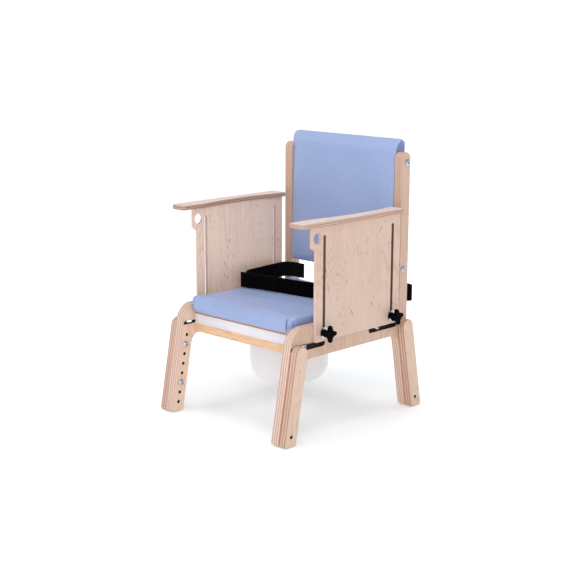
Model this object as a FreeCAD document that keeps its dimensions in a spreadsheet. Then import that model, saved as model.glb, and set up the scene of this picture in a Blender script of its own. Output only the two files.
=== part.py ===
import FreeCAD, Part
import math
import os
import Sketcher

# Potty training chair: plywood side frames with bolted-on adjustable legs, a seat frame with
# a removable potty, cushion, back rest, side panels with armrests, and a lap belt.
# Millimetres, +Z up, the child looks towards -Y, +X is the child's left.
# Origin: on the floor, on the centre plane, half way between the front and rear feet.

os.makedirs("parts", exist_ok=True)
doc = FreeCAD.newDocument("PottyChair")
sheet = doc.addObject("Spreadsheet::Sheet", "Params")

SIDES = ((1, "left"), (-1, "right"))
aliases = []
nodes = []  # every object that becomes a STEP file


class Quantity:
    """A number that also carries the sheet expression it comes from."""

    def __init__(self, value, text):
        self.value = float(value)
        self.text = text

    def _mix(self, other, operator):
        if not isinstance(other, Quantity):
            other = Quantity(other, repr(float(other)))
        value = {
            "+": self.value + other.value,
            "-": self.value - other.value,
            "*": self.value * other.value,
            "/": self.value / other.value if other.value else 0.0,
        }[operator]
        return Quantity(value, "(" + self.text + " " + operator + " " + other.text + ")")

    def __add__(self, other):
        return self._mix(other, "+")

    def __sub__(self, other):
        return self._mix(other, "-")

    def __mul__(self, other):
        return self._mix(other, "*")

    def __truediv__(self, other):
        return self._mix(other, "/")

    def __neg__(self):
        return Quantity(-self.value, "(-1 * " + self.text + ")")

    def __float__(self):
        return self.value


ZERO = Quantity(0, "0")


def dim(alias, value, note):
    """Write a driving dimension into the sheet and return it as a Quantity."""
    aliases.append(alias)
    row = str(len(aliases))
    sheet.set("A" + row, alias)
    sheet.set("B" + row, repr(float(value)))
    sheet.set("C" + row, note)
    sheet.setAlias("B" + row, alias)
    return Quantity(value, "Params." + alias)


def trig(function, angle):
    """sin, cos or tan of a sheet angle in degrees."""
    value = getattr(math, function)(math.radians(angle.value))
    return Quantity(value, function + "(" + angle.text + " * 1 deg)")


# ---------------------------------------------------------------- driving dimensions
# boards
inner_half = dim("inner_half", 133.0, "centre plane to a side frame's inner face")
board = dim("board", 18.0, "side frame plywood")
leg_board = dim("leg_board", 15.0, "adjustable leg plywood")
ease = dim("ease", 1.2, "rounding of the sawn plywood edges")
# side frame outline
leg_slope = dim("leg_slope", 10.3, "splay of the legs from the vertical, degrees")
leg_line = dim("leg_line", 157.6, "bolt row from the centre at the reference height")
leg_ref_height = dim("leg_ref_height", 103.0, "reference height of leg_line")
leg_half = dim("leg_half", 15.4, "half width of a frame leg, level")
frame_foot = dim("frame_foot", 1.2, "frame leg stops this far above the floor")
frame_top = dim("frame_top", 205.5, "top of the side rail")
rail_under = dim("rail_under", 146.7, "underside of the side rail")
corner_round = dim("corner_round", 34.0, "top front corner")
rail_round = dim("rail_round", 20.0, "rail to leg corner")
foot_round = dim("foot_round", 6.0, "foot corners")
upright_front = dim("upright_front", 135.4, "front edge of the upright")
upright_back = dim("upright_back", 159.8, "rear edge of the upright")
upright_top = dim("upright_top", 493.0, "top of the upright")
upright_round = dim("upright_round", 12.0, "top corners of the upright")
root_round = dim("root_round", 9.0, "rail to upright corner")
back_knee = dim("back_knee", 14.0, "upright to rear leg corner")
# leg bolt row
row_top = dim("row_top", 146.8, "height of the top hole of the row")
row_pitch = dim("row_pitch", 18.57, "hole pitch along the leg")
bolt_hole = dim("bolt_hole", 6.5, "clearance hole for M6")
bolt_radius = dim("bolt_radius", 2.95, "bolt shank radius")
insert_bore = dim("insert_bore", 3.0, "threaded insert bore radius")
insert_radius = dim("insert_radius", 4.4, "threaded insert outer radius")
insert_length = dim("insert_length", 12.0, "threaded insert length")
head_radius = dim("head_radius", 6.2, "leg and back bolt head radius")
head_thick = dim("head_thick", 3.3, "leg and back bolt head thickness")
leg_bolt_length = dim("leg_bolt_length", 28.0, "leg bolt under its head")
# adjustable legs
outer_half = dim("outer_half", 14.6, "half width of an adjustable leg, level")
outer_top = dim("outer_top", 176.5, "apex of the rounded top")
outer_top_flat = dim("outer_top_flat", 0.15, "top rounding falls this short of a full half width")
front_offset = dim("front_offset", 1.0, "front leg set back from its bolt row")
# level slots for the seat
slot_height = dim("slot_height", 169.9, "centre height of the level slots")
slot_wide = dim("slot_wide", 6.6, "through slot width")
slot_recess = dim("slot_recess", 12.0, "outer recess width")
slot_deep = dim("slot_deep", 7.5, "outer recess depth")
slot_front_start = dim("slot_front_start", -154.0, "front slot, forward end centre")
slot_front_end = dim("slot_front_end", -77.3, "front slot, rear end centre")
slot_rear_start = dim("slot_rear_start", 54.4, "rear slot, forward end centre")
slot_rear_end = dim("slot_rear_end", 124.0, "rear slot, rear end centre")
slot_bolt_front = dim("slot_bolt_front", -121.4, "front seat bolt")
slot_bolt_rear = dim("slot_bolt_rear", 77.3, "rear seat bolt")
slot_head_radius = dim("slot_head_radius", 5.5, "seat screw head radius")
slot_head_thick = dim("slot_head_thick", 5.0, "seat screw head thickness")
slot_head_gap = dim("slot_head_gap", 0.05, "seat screw head to recess floor")
# side panels
panel_gap = dim("panel_gap", 0.1, "frame face to panel")
panel_thick = dim("panel_thick", 6.0, "side panel plywood")
panel_front = dim("panel_front", -103.0, "front edge")
panel_back = dim("panel_back", 127.4, "rear edge")
panel_low = dim("panel_low", 174.4, "lower edge")
panel_up = dim("panel_up", 388.0, "upper edge, inside the armrest groove")
panel_low_round = dim("panel_low_round", 2.5, "lower corners")
panel_ease = dim("panel_ease", 0.8, "rounding of the panel edges")
hook_front = dim("hook_front", -113.8, "front edge of the upper hook")
hook_low = dim("hook_low", 345.0, "hook lower corner")
hook_root = dim("hook_root", 339.0, "hook meets the front edge")
hook_round = dim("hook_round", 6.0, "rounding of the hook lower corner")
knob_height = dim("knob_height", 190.0, "height of the clamping studs")
knob_front = dim("knob_front", -81.8, "front stud")
knob_rear = dim("knob_rear", 104.9, "rear stud")
rise_top = dim("rise_top", 362.7, "top centre of the upright slots")
rise_half = dim("rise_half", 3.3, "upright slot half width")
bar_position = dim("bar_position", -100.0, "accessory bar hole")
bar_height = dim("bar_height", 361.7, "accessory bar hole")
bar_radius = dim("bar_radius", 10.0, "accessory bar hole radius")
hang_position = dim("hang_position", 120.4, "small hole")
hang_height = dim("hang_height", 209.0, "small hole")
hang_radius = dim("hang_radius", 1.75, "small hole radius")
# armrests
arm_low = dim("arm_low", 384.0, "underside")
arm_thick = dim("arm_thick", 9.0, "thickness")
arm_front = dim("arm_front", -152.5, "front end")
arm_neck = dim("arm_neck", -96.0, "start of the waisted inner edge")
arm_back = dim("arm_back", 123.0, "rear end")
arm_inner = dim("arm_inner", 135.2, "inner edge at the ends")
arm_waist = dim("arm_waist", 145.4, "inner edge at the waist")
arm_waist_at = dim("arm_waist_at", -8.0, "place of the waist")
arm_outer = dim("arm_outer", 171.0, "outer edge at the ends")
arm_belly = dim("arm_belly", 173.6, "outer edge at the middle")
arm_round = dim("arm_round", 2.6, "rounding of the long edges")
arm_front_in_round = dim("arm_front_in_round", 7.0, "front inner corner")
arm_front_out_round = dim("arm_front_out_round", 10.0, "front outer corner")
arm_back_in_round = dim("arm_back_in_round", 4.0, "rear inner corner")
arm_back_out_round = dim("arm_back_out_round", 8.0, "rear outer corner")
arm_neck_round = dim("arm_neck_round", 90.0, "neck corner")
groove_deep = dim("groove_deep", 4.0, "groove for the panel's top edge")
# seat frame
seat_half = dim("seat_half", 132.8, "half width of the seat frame")
rail_thick = dim("rail_thick", 18.0, "seat frame timber")
seat_front = dim("seat_front", -127.95, "front face")
seat_back = dim("seat_back", 126.0, "rear face")
seat_low = dim("seat_low", 149.8, "underside of the seat frame")
front_rail_top = dim("front_rail_top", 166.6, "top of the front rail's face")
seat_ease = dim("seat_ease", 1.2, "rounding of the seat rail edges")
screw_shank = dim("screw_shank", 2.45, "seat screw shank radius")
screw_bore = dim("screw_bore", 2.5, "seat screw bore radius")
screw_deep = dim("screw_deep", 24.0, "front seat screw depth in the timber")
dowel_radius = dim("dowel_radius", 3.0, "dowel radius")
dowel_length = dim("dowel_length", 27.0, "dowel length")
dowel_low = dim("dowel_low", 154.6, "lower front dowel height")
dowel_high = dim("dowel_high", 162.4, "upper front dowel height")
dowel_low_rear = dim("dowel_low_rear", 158.0, "lower rear dowel height")
dowel_high_rear = dim("dowel_high_rear", 175.0, "upper rear dowel height")
# potty carrier
deck_low = dim("deck_low", 183.1, "underside of the carrier deck")
deck_top = dim("deck_top", 186.1, "top of the carrier deck")
deck_corner = dim("deck_corner", 2.0, "deck corners")
deck_ease = dim("deck_ease", 1.0, "rounding of the deck's top edge")
carrier_half = dim("carrier_half", 132.3, "half width of the potty carrier")
skirt = dim("skirt", 2.4, "carrier skirt wall")
skirt_back = dim("skirt_back", 2.5, "rebate of the front rail behind the skirt")
skirt_overlap = dim("skirt_overlap", 0.6, "skirt reaches this far into the deck")
skirt_lip = dim("skirt_lip", 0.9, "rolled lip below the skirt, proud of the front")
lip_bottom = dim("lip_bottom", 0.2, "lip underside above front_rail_top")
lip_shoulder = dim("lip_shoulder", 2.6, "top of the lip's face above front_rail_top")
lip_top = dim("lip_top", 3.4, "lip meets the skirt, above front_rail_top")
well_centre = dim("well_centre", -7.0, "centre of the potty well")
well_radius = dim("well_radius", 79.0, "radius of the potty well")
collar_radius = dim("collar_radius", 93.0, "collar radius under the deck")
collar_low = dim("collar_low", 178.0, "underside of the collar")
collar_overlap = dim("collar_overlap", 0.5, "collar reaches this far into the deck")
rest_radius = dim("rest_radius", 89.5, "recess the rim rests in")
# carrier screws
pilot_radius = dim("pilot_radius", 1.6, "carrier screw pilot")
pilot_deep = dim("pilot_deep", 14.0, "carrier screw pilot depth")
carrier_hole = dim("carrier_hole", 1.75, "carrier screw hole radius in the deck")
carrier_screw_x = dim("carrier_screw_x", 123.8, "carrier screws from the centre plane")
carrier_screw_rows = (
    dim("carrier_screw_front", -85.0, "front carrier screws"),
    dim("carrier_screw_middle", 5.0, "middle carrier screws"),
    dim("carrier_screw_rear", 90.0, "rear carrier screws"),
)
carrier_screw_head = dim("carrier_screw_head", 3.6, "carrier screw head radius")
carrier_head_thick = dim("carrier_head_thick", 1.5, "carrier screw head thickness")
carrier_shank = dim("carrier_shank", 17.0, "carrier screw under its head")
cross_length = dim("cross_length", 5.0, "cross slot length")
cross_width = dim("cross_width", 0.9, "cross slot width")
cross_floor = dim("cross_floor", 0.9, "cross slot floor above the deck")
cross_height = dim("cross_height", 1.0, "height of the cross slot cutter")
# cushion
base_thick = dim("base_thick", 3.5, "cushion base plywood")
base_side_inset = dim("base_side_inset", 2.0, "base inside the cushion's sides")
base_front_inset = dim("base_front_inset", 10.0, "base behind the cushion's front")
base_back_inset = dim("base_back_inset", 4.0, "base in front of the cushion's rear")
relief_margin = dim("relief_margin", 1.2, "relief around a carrier screw head")
relief_deep = dim("relief_deep", 2.0, "relief depth over the carrier screws")
cushion_top = dim("cushion_top", 219.5, "top of the cushion")
cushion_half = dim("cushion_half", 131.0, "half width of the cushion")
cushion_front = dim("cushion_front", -141.0, "front of the cushion")
cushion_back = dim("cushion_back", 131.4, "rear of the cushion")
cushion_round = dim("cushion_round", 9.0, "corners and top edge of the cushion")
# potty
pot_low = dim("pot_low", 61.5, "underside of the potty")
pot_top_radius = dim("pot_top_radius", 77.4, "outer radius under the rim")
pot_low_radius = dim("pot_low_radius", 73.6, "outer radius above the base curve")
pot_wall = dim("pot_wall", 2.4, "wall")
pot_round = dim("pot_round", 32.0, "base curve")
rim_radius = dim("rim_radius", 88.0, "rim radius")
rim_low = dim("rim_low", 183.15, "underside of the rim")
rim_high = dim("rim_high", 185.7, "top of the rim")
rim_ease = dim("rim_ease", 0.9, "rounding of the rim edges")
# back rest
recline = dim("recline", 1.6, "back rest recline, degrees")
back_position = dim("back_position", 147.4, "middle of the back board")
back_height = dim("back_height", 373.0, "middle of the back bolts")
back_half = dim("back_half", 132.9, "half width of the back board")
back_board = dim("back_board", 15.0, "back board thickness")
back_ease = dim("back_ease", 2.0, "rounding of the back board's long edges")
back_down = dim("back_down", 114.0, "board below the middle")
back_up = dim("back_up", 131.0, "board above the middle")
back_bolt = dim("back_bolt", 101.0, "back bolts above and below the middle")
back_bolt_length = dim("back_bolt_length", 30.0, "back bolt under its head")
pad_half = dim("pad_half", 132.3, "half width of the back pad")
pad_front = dim("pad_front", 12.0, "pad in front of the board's middle")
pad_rear = dim("pad_rear", 16.0, "pad behind the board's middle")
pad_down = dim("pad_down", 118.0, "pad below the middle")
pad_up = dim("pad_up", 146.0, "pad above the middle")
pad_round = dim("pad_round", 9.0, "top edges of the pad")
sleeve_slack = dim("sleeve_slack", 0.25, "board to sleeve")
# holes drilled deeper than their threaded insert
knob_hole_extra = dim("knob_hole_extra", 2.0, "knob insert hole beyond the insert")
back_hole_extra = dim("back_hole_extra", 4.0, "back insert hole beyond the insert")
# belt
belt_high = dim("belt_high", 30.0, "webbing width")
belt_thick = dim("belt_thick", 1.8, "webbing thickness")
belt_gap = dim("belt_gap", 0.3, "upright to webbing")
belt_hole = dim("belt_hole", 2.3, "radius of the hole in the webbing")
belt_screw_x = dim("belt_screw_x", 142.0, "belt screw from the centre plane")
belt_screw_z = dim("belt_screw_z", 223.5, "belt screw height")
belt_pilot = dim("belt_pilot", 2.0, "belt screw pilot radius")
belt_pilot_deep = dim("belt_pilot_deep", 20.0, "belt screw pilot depth")
belt_shank = dim("belt_shank", 1.95, "belt screw shank radius")
belt_shank_length = dim("belt_shank_length", 21.0, "belt screw under its head")
belt_head = dim("belt_head", 3.6, "belt screw head radius")
belt_head_thick = dim("belt_head_thick", 2.0, "belt screw head thickness")
cup_gap = dim("cup_gap", 0.02, "webbing to belt washer")
cup_radius = dim("cup_radius", 4.6, "belt washer radius")
cup_bore = dim("cup_bore", 2.2, "belt washer bore radius")
cup_thick = dim("cup_thick", 1.6, "belt washer thickness")
# knobs
washer_radius = dim("washer_radius", 10.4, "clamp washer radius")
washer_thick = dim("washer_thick", 1.5, "clamp washer thickness")
hub_radius = dim("hub_radius", 6.15, "knob hub radius")
hub_length = dim("hub_length", 10.9, "knob hub length")
hub_overlap = dim("hub_overlap", 0.5, "hub reaches this far into the lobes")
star_radius = dim("star_radius", 15.4, "knob lobe radius")
star_thick = dim("star_thick", 6.5, "knob lobe thickness")
star_ease = dim("star_ease", 1.0, "rounding of the lobes' outer face")
lobe_half = dim("lobe_half", 3.8, "knob lobe half width")
web_radius = dim("web_radius", 8.4, "knob web between the lobes")
stud_in = dim("stud_in", 10.0, "stud length inside the frame insert")
stud_deep = dim("stud_deep", 9.0, "stud length inside the knob")
doc.recompute()

# derived sizes
SLOPE_TAN = trig("tan", leg_slope)
SLOPE_SIN = trig("sin", leg_slope)
SLOPE_COS = trig("cos", leg_slope)
RECLINE_SIN = trig("sin", recline)
RECLINE_COS = trig("cos", recline)
frame_outer = inner_half + board
panel_inner = frame_outer + panel_gap
panel_outer = panel_inner + panel_thick
back_board_half = back_board / 2
bearer_middle = seat_half - rail_thick / 2
front_joint = seat_front + rail_thick  # rear face of the front rail
rear_joint = seat_back - rail_thick  # front face of the rear rail

ROW_HOLES = 8  # holes in a leg bolt row, counted from the top
BOLTED_HOLES = (1, 5)  # the two that carry bolts


# ---------------------------------------------------------------- sketch helpers
def vector(x, y, z=0.0):
    return FreeCAD.Vector(float(x), float(y), float(z))


def mirrored(quantity, side):
    return quantity if side > 0 else -quantity


def low_x_face(inner, thickness, side):
    """The face of smaller X of a board whose inner face is this far from the centre plane."""
    return inner if side > 0 else -(inner + thickness)


def new_body(label):
    body = doc.addObject("PartDesign::Body", "Body_" + label)
    body.Label = label
    nodes.append(body)
    return body


def new_sketch(body, role, name, offset=None):
    """Sketch on an origin plane, moved along its normal: +X, +Z, but -Y for XZ_Plane."""
    sketch = body.newObject("Sketcher::SketchObject", name)
    plane = next(item for item in body.Origin.OriginFeatures if item.Role == role)
    sketch.AttachmentSupport = [(plane, "")]
    sketch.MapMode = "FlatFace"
    if offset is not None:
        sketch.AttachmentOffset = FreeCAD.Placement(vector(0, 0, offset), FreeCAD.Rotation())
        sketch.setExpression("AttachmentOffset.Base.z", offset.text)
    return sketch


def datum(sketch, kind, geometry, position, quantity, name):
    """Sheet-driven radius, or distance from the sketch origin."""
    if kind == "Radius":
        constraint = Sketcher.Constraint(kind, geometry, quantity.value)
    else:
        constraint = Sketcher.Constraint(kind, -1, 1, geometry, position, quantity.value)
    index = sketch.addConstraint(constraint)
    sketch.renameConstraint(index, name)
    sketch.setExpression("Constraints." + name, quantity.text)


def datum_point(sketch, geometry, position, point, tag):
    datum(sketch, "DistanceX", geometry, position, point[0], tag + "x")
    datum(sketch, "DistanceY", geometry, position, point[1], tag + "y")


def line(sketch, start, end):
    return sketch.addGeometry(Part.LineSegment(vector(*start), vector(*end)))


def arc(centre, radius, start, end):
    circle_curve = Part.Circle(centre, vector(0, 0, 1), radius)
    return Part.ArcOfCircle(circle_curve, start, end)


def polygon(sketch, points):
    """Closed polygon, every corner held by two sheet-driven distances."""
    count = len(points)
    first = sketch.GeometryCount
    for i in range(count):
        line(sketch, points[i], points[(i + 1) % count])
    for i in range(count):
        sketch.addConstraint(
            Sketcher.Constraint("Coincident", first + i, 2, first + (i + 1) % count, 1)
        )
    for i, (x, y) in enumerate(points):
        datum(sketch, "DistanceX", first + i, 1, x, "px%d" % i)
        datum(sketch, "DistanceY", first + i, 1, y, "py%d" % i)


def rectangle(x_low, x_high, y_low, y_high):
    return [(x_low, y_low), (x_high, y_low), (x_high, y_high), (x_low, y_high)]


def circle(sketch, x, y, radius, tag):
    geometry = sketch.addGeometry(Part.Circle(vector(x, y), vector(0, 0, 1), radius.value))
    datum_point(sketch, geometry, 3, (x, y), tag)
    datum(sketch, "Radius", geometry, 0, radius, tag + "r")


def obround(sketch, start, end, radius, tag):
    """Slot with round ends between two centres, along one sketch axis."""
    start_point, end_point = vector(*start), vector(*end)
    along = end_point - start_point
    angle = math.atan2(along.y, along.x)
    across = FreeCAD.Vector(-along.y, along.x, 0) * (radius.value / along.Length)
    quarter = math.pi / 2
    right_side = sketch.addGeometry(Part.LineSegment(start_point - across, end_point - across))
    end_cap = sketch.addGeometry(arc(end_point, radius.value, angle - quarter, angle + quarter))
    left_side = sketch.addGeometry(Part.LineSegment(end_point + across, start_point + across))
    start_cap = sketch.addGeometry(
        arc(start_point, radius.value, angle + quarter, angle + 3 * quarter)
    )
    ring = (right_side, end_cap, left_side, start_cap)
    for i in range(4):
        sketch.addConstraint(Sketcher.Constraint("Tangent", ring[i], 2, ring[(i + 1) % 4], 1))
    datum_point(sketch, end_cap, 3, end, tag + "b")
    datum_point(sketch, start_cap, 3, start, tag + "a")
    datum(sketch, "Radius", end_cap, 0, radius, tag + "r")


# ---------------------------------------------------------------- feature helpers
def pad(body, sketch, length, name, midplane=False):
    feature = body.newObject("PartDesign::Pad", name)
    feature.Profile = sketch
    feature.Length = length.value
    feature.setExpression("Length", length.text)
    if midplane:
        feature.Midplane = True
    sketch.Visibility = False
    doc.recompute()
    if not feature.Shape.isValid() or feature.Shape.Volume < 1:
        raise RuntimeError("pad failed: " + name)
    return feature


def pocket(body, sketch, name, length=None, flip=False):
    """Cut against the sketch normal, or along it when flipped; no length cuts right through."""
    before = body.Shape.Volume
    feature = body.newObject("PartDesign::Pocket", name)
    feature.Profile = sketch
    if length is None:
        feature.Type = 1
    else:
        feature.Length = length.value
        feature.setExpression("Length", length.text)
    feature.Reversed = flip
    doc.recompute()
    if not feature.Shape.isValid() or feature.Shape.Volume > before - 0.5:
        raise RuntimeError("pocket cut nothing: " + name + " in " + body.Label)


def edges_where(shape, test):
    return [
        "Edge%d" % (i + 1)
        for i, edge in enumerate(shape.Edges)
        if not edge.Degenerated and test(edge)
    ]


def fillet(body, base, edge_names, radius, name):
    if not edge_names:
        raise RuntimeError("no edges for " + name + " in " + body.Label)
    feature = body.newObject("PartDesign::Fillet", name)
    feature.Base = (base, edge_names)
    feature.Radius = radius.value
    feature.setExpression("Radius", radius.text)
    doc.recompute()
    if not feature.Shape.isValid() or feature.Shape.isNull():
        raise RuntimeError("fillet failed: " + name + " in " + body.Label)
    return feature


def round_corners(body, base, axis, points, radius, name):
    """Fillet the straight edges along an axis that pass through the given profile points."""
    across = [k for k in range(3) if k != axis]
    places = [(float(first), float(second)) for first, second in points]

    def test(edge):
        if len(edge.Vertexes) != 2:
            return False
        start, end = edge.Vertexes[0].Point, edge.Vertexes[1].Point
        if any(abs(start[k] - end[k]) > 1e-4 for k in across):
            return False
        return any(
            abs(start[across[0]] - place[0]) < 0.02 and abs(start[across[1]] - place[1]) < 0.02
            for place in places
        )

    return fillet(body, base, edges_where(base.Shape, test), radius, name)


def lies_in(item, axis, levels):
    """True when an edge or face lies flat in one of the planes across the axis."""
    box = item.BoundBox
    low = (box.XMin, box.YMin, box.ZMin)[axis]
    high = (box.XMax, box.YMax, box.ZMax)[axis]
    return high - low <= 1e-3 and any(abs(low - float(level)) < 1e-3 for level in levels)


def round_outline(body, base, axis, levels, radius, name, keep=lambda edge: True):
    """Fillet the outer outline of the flat faces lying in the given planes across an axis."""
    outline = [
        edge
        for face in base.Shape.Faces
        if lies_in(face, axis, levels)
        for edge in face.OuterWire.Edges
    ]

    def test(edge):
        return (
            lies_in(edge, axis, levels)
            and any(edge.isSame(other) for other in outline)
            and keep(edge)
        )

    return fillet(body, base, edges_where(base.Shape, test), radius, name)


# ---------------------------------------------------------------- places shared by pieces
def leg_y(z, away, front):
    """Level position of a leg line at height z, moved away from the middle of the chair."""
    distance = leg_line + away - (z - leg_ref_height) * SLOPE_TAN
    return -distance if front else distance


def row_point(hole, front):
    z = row_top - SLOPE_COS * (row_pitch * hole)
    return leg_y(z, ZERO, front), z


def back_bolt_point(sign):
    """Back bolt above (+1) or below (-1) the middle of the reclined board."""
    return (
        back_position + back_bolt * RECLINE_SIN * sign,
        back_height + back_bolt * RECLINE_COS * sign,
    )


# ---------------------------------------------------------------- side frames
def slot_sketch(body, name, face, width):
    sketch = new_sketch(body, "YZ_Plane", name, face)
    for start, end, tag in (
        (slot_front_start, slot_front_end, "front"),
        (slot_rear_start, slot_rear_end, "rear"),
    ):
        obround(sketch, (start, slot_height), (end, slot_height), width / 2, tag)
    return sketch


def side_frame(label, side):
    body = new_body(label)
    start = low_x_face(inner_half, board, side)
    # the rear leg's sloping edge meets the upright here
    knee_z = (leg_line + leg_half - upright_back) / SLOPE_TAN + leg_ref_height
    points = [
        (leg_y(frame_foot, leg_half, True), frame_foot),
        (leg_y(frame_foot, -leg_half, True), frame_foot),
        (leg_y(rail_under, -leg_half, True), rail_under),
        (leg_y(rail_under, -leg_half, False), rail_under),
        (leg_y(frame_foot, -leg_half, False), frame_foot),
        (leg_y(frame_foot, leg_half, False), frame_foot),
        (upright_back, knee_z),
        (upright_back, upright_top),
        (upright_front, upright_top),
        (upright_front, frame_top),
        (leg_y(frame_top, leg_half, True), frame_top),
    ]
    sketch = new_sketch(body, "YZ_Plane", "Outline_" + label, start)
    polygon(sketch, points)
    solid = pad(body, sketch, board, "Board_" + label)
    for name, corners, radius in (
        ("Feet", (0, 1, 4, 5), foot_round),
        ("UnderRail", (2, 3), rail_round),
        ("Knee", (6,), back_knee),
        ("UprightTop", (7, 8), upright_round),
        ("Root", (9,), root_round),
        ("Corner", (10,), corner_round),
    ):
        chosen = [points[i] for i in corners]
        solid = round_corners(body, solid, 0, chosen, radius, name + "_" + label)
    round_outline(body, solid, 0, (start, start + board), ease, "Ease_" + label)

    # everything below is cut from the outer face inwards
    face = mirrored(frame_outer, side)
    flip = side < 0
    sketch = new_sketch(body, "YZ_Plane", "Rows_" + label, face)
    for front, tag in ((True, "f"), (False, "r")):
        for hole in range(ROW_HOLES):
            y, z = row_point(hole, front)
            circle(sketch, y, z, bolt_hole / 2, "%s%d" % (tag, hole))
    pocket(body, sketch, "RowHoles_" + label, flip=flip)

    sketch = slot_sketch(body, "Slots_" + label, face, slot_wide)
    pocket(body, sketch, "ThroughSlots_" + label, flip=flip)
    sketch = slot_sketch(body, "Recess_" + label, face, slot_recess)
    pocket(body, sketch, "SlotRecess_" + label, slot_deep, flip)

    sketch = new_sketch(body, "YZ_Plane", "KnobHoles_" + label, face)
    circle(sketch, knob_front, knob_height, insert_radius, "kf")
    circle(sketch, knob_rear, knob_height, insert_radius, "kr")
    pocket(body, sketch, "KnobHoles2_" + label, insert_length + knob_hole_extra, flip)

    sketch = new_sketch(body, "YZ_Plane", "BackHoles_" + label, face)
    for sign, tag in ((1, "u"), (-1, "d")):
        y, z = back_bolt_point(sign)
        circle(sketch, y, z, bolt_hole / 2, tag)
    pocket(body, sketch, "BackHoles2_" + label, flip=flip)

    # pilot hole for the belt screw, from the rear edge
    sketch = new_sketch(body, "XZ_Plane", "Pilot_" + label, -upright_back)
    circle(sketch, mirrored(belt_screw_x, side), belt_screw_z, belt_pilot, "p")
    pocket(body, sketch, "PilotHole_" + label, belt_pilot_deep, True)


for side, side_name in SIDES:
    side_frame("side_frame_" + side_name, side)


# ---------------------------------------------------------------- adjustable legs
def outer_leg(label, side, front):
    body = new_body(label)
    start = low_x_face(frame_outer, leg_board, side)
    offset = front_offset if front else ZERO
    half_width = outer_half * SLOPE_COS
    forward = 1.0 if front else -1.0
    # centre of the rounded top, and its corners square to the leg's own axis
    centre_z = outer_top - half_width
    centre_y = leg_y(centre_z, -offset, front)
    along_y, along_z = SLOPE_SIN * half_width, SLOPE_COS * half_width
    points = [
        (leg_y(ZERO, outer_half - offset, front), ZERO),
        (leg_y(ZERO, -outer_half - offset, front), ZERO),
        (centre_y + (along_y + along_z) * forward, centre_z + along_z - along_y),
        (centre_y + (along_y - along_z) * forward, centre_z + along_z + along_y),
    ]
    sketch = new_sketch(body, "YZ_Plane", "Outline_" + label, start)
    polygon(sketch, points)
    solid = pad(body, sketch, leg_board, "Board_" + label)
    solid = round_corners(body, solid, 0, points[:2], foot_round, "Foot_" + label)
    top_round = half_width - outer_top_flat
    solid = round_corners(body, solid, 0, points[2:], top_round, "Top_" + label)
    round_outline(body, solid, 0, (start, start + leg_board), ease, "Ease_" + label)

    # blind holes for the threaded inserts, from the side that meets the frame
    face = mirrored(frame_outer, side)
    sketch = new_sketch(body, "YZ_Plane", "Inserts_" + label, face)
    for hole in BOLTED_HOLES:
        y, z = row_point(hole, front)
        circle(sketch, y, z, insert_radius, "i%d" % hole)
    pocket(body, sketch, "InsertHoles_" + label, insert_length, side > 0)
    # through hole in line with the lowest hole of the row
    sketch = new_sketch(body, "YZ_Plane", "FootHole_" + label, face)
    y, z = row_point(ROW_HOLES - 1, front)
    circle(sketch, y, z, bolt_hole / 2, "f7")
    pocket(body, sketch, "FootHole2_" + label, flip=side > 0)


for front, end_name in ((True, "front"), (False, "rear")):
    for side, side_name in SIDES:
        outer_leg("leg_%s_%s" % (end_name, side_name), side, front)


# ---------------------------------------------------------------- turned pieces
# socket head proportions, as shares of its thickness or radius
HEAD_RIM_SHARE = 0.45  # straight part of the head's thickness
HEAD_CROWN = 0.62  # radius of the flat crown
KEY_RADIUS = 0.36  # hexagon corner radius
KEY_FLOOR = 0.4  # height of the hexagon's floor

part_count = [0]


def next_name(prefix):
    part_count[0] += 1
    return "%s%03d" % (prefix, part_count[0])


def primitive(kind, name, **sizes):
    item = doc.addObject(kind, name)
    for key, size in sizes.items():
        if isinstance(size, Quantity):
            setattr(item, key, size.value)
            item.setExpression(key, size.text)
        else:
            setattr(item, key, size)
    return item


def lift(item, height):
    item.Placement.Base.z = height.value
    item.setExpression("Placement.Base.z", height.text)


def fuse(name, items):
    result = doc.addObject("Part::MultiFuse", name)
    result.Shapes = items
    return result


def cut(name, base, tool):
    result = doc.addObject("Part::Cut", name)
    result.Base, result.Tool = base, tool
    return result


def turn_to(axis):
    return FreeCAD.Rotation(vector(0, 0, 1), vector(*axis))


def place(item, position, axis):
    item.Placement = FreeCAD.Placement(vector(*position), turn_to(axis))


def socket_screw(position, axis, radius, thickness, shank_radius, shank_length):
    """Domed head above the seat plane at position, shank along -axis."""
    name = next_name("Screw")
    rim_height = thickness * HEAD_RIM_SHARE
    rim = primitive("Part::Cylinder", name + "_rim", Radius=radius, Height=rim_height)
    dome = primitive(
        "Part::Cone",
        name + "_dome",
        Radius1=radius,
        Radius2=radius * HEAD_CROWN,
        Height=thickness * (1 - HEAD_RIM_SHARE),
    )
    lift(dome, rim_height)
    shank = primitive(
        "Part::Cylinder", name + "_shank", Radius=shank_radius, Height=shank_length
    )
    lift(shank, -shank_length)
    whole = fuse(name + "_whole", [rim, dome, shank])
    key = primitive(
        "Part::Prism",
        name + "_key",
        Polygon=6,
        Circumradius=radius * KEY_RADIUS,
        Height=thickness,
    )
    lift(key, thickness * KEY_FLOOR)
    screw = cut(name, whole, key)
    place(screw, position, axis)
    return screw


def sleeve(position, axis, outer, inner, length):
    """Plain tube from position along axis."""
    name = next_name("Sleeve")
    outside = primitive("Part::Cylinder", name + "_o", Radius=outer, Height=length)
    inside = primitive("Part::Cylinder", name + "_i", Radius=inner, Height=length)
    tube = cut(name, outside, inside)
    place(tube, position, axis)
    return tube


def threaded_insert(position, axis):
    return sleeve(position, axis, insert_radius, insert_bore, insert_length)


def bolt(position, axis, length):
    return socket_screw(position, axis, head_radius, head_thick, bolt_radius, length)


def group(label, items):
    compound = doc.addObject("Part::Compound", "Group_" + label)
    compound.Links = items
    compound.Label = label
    nodes.append(compound)


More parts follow.
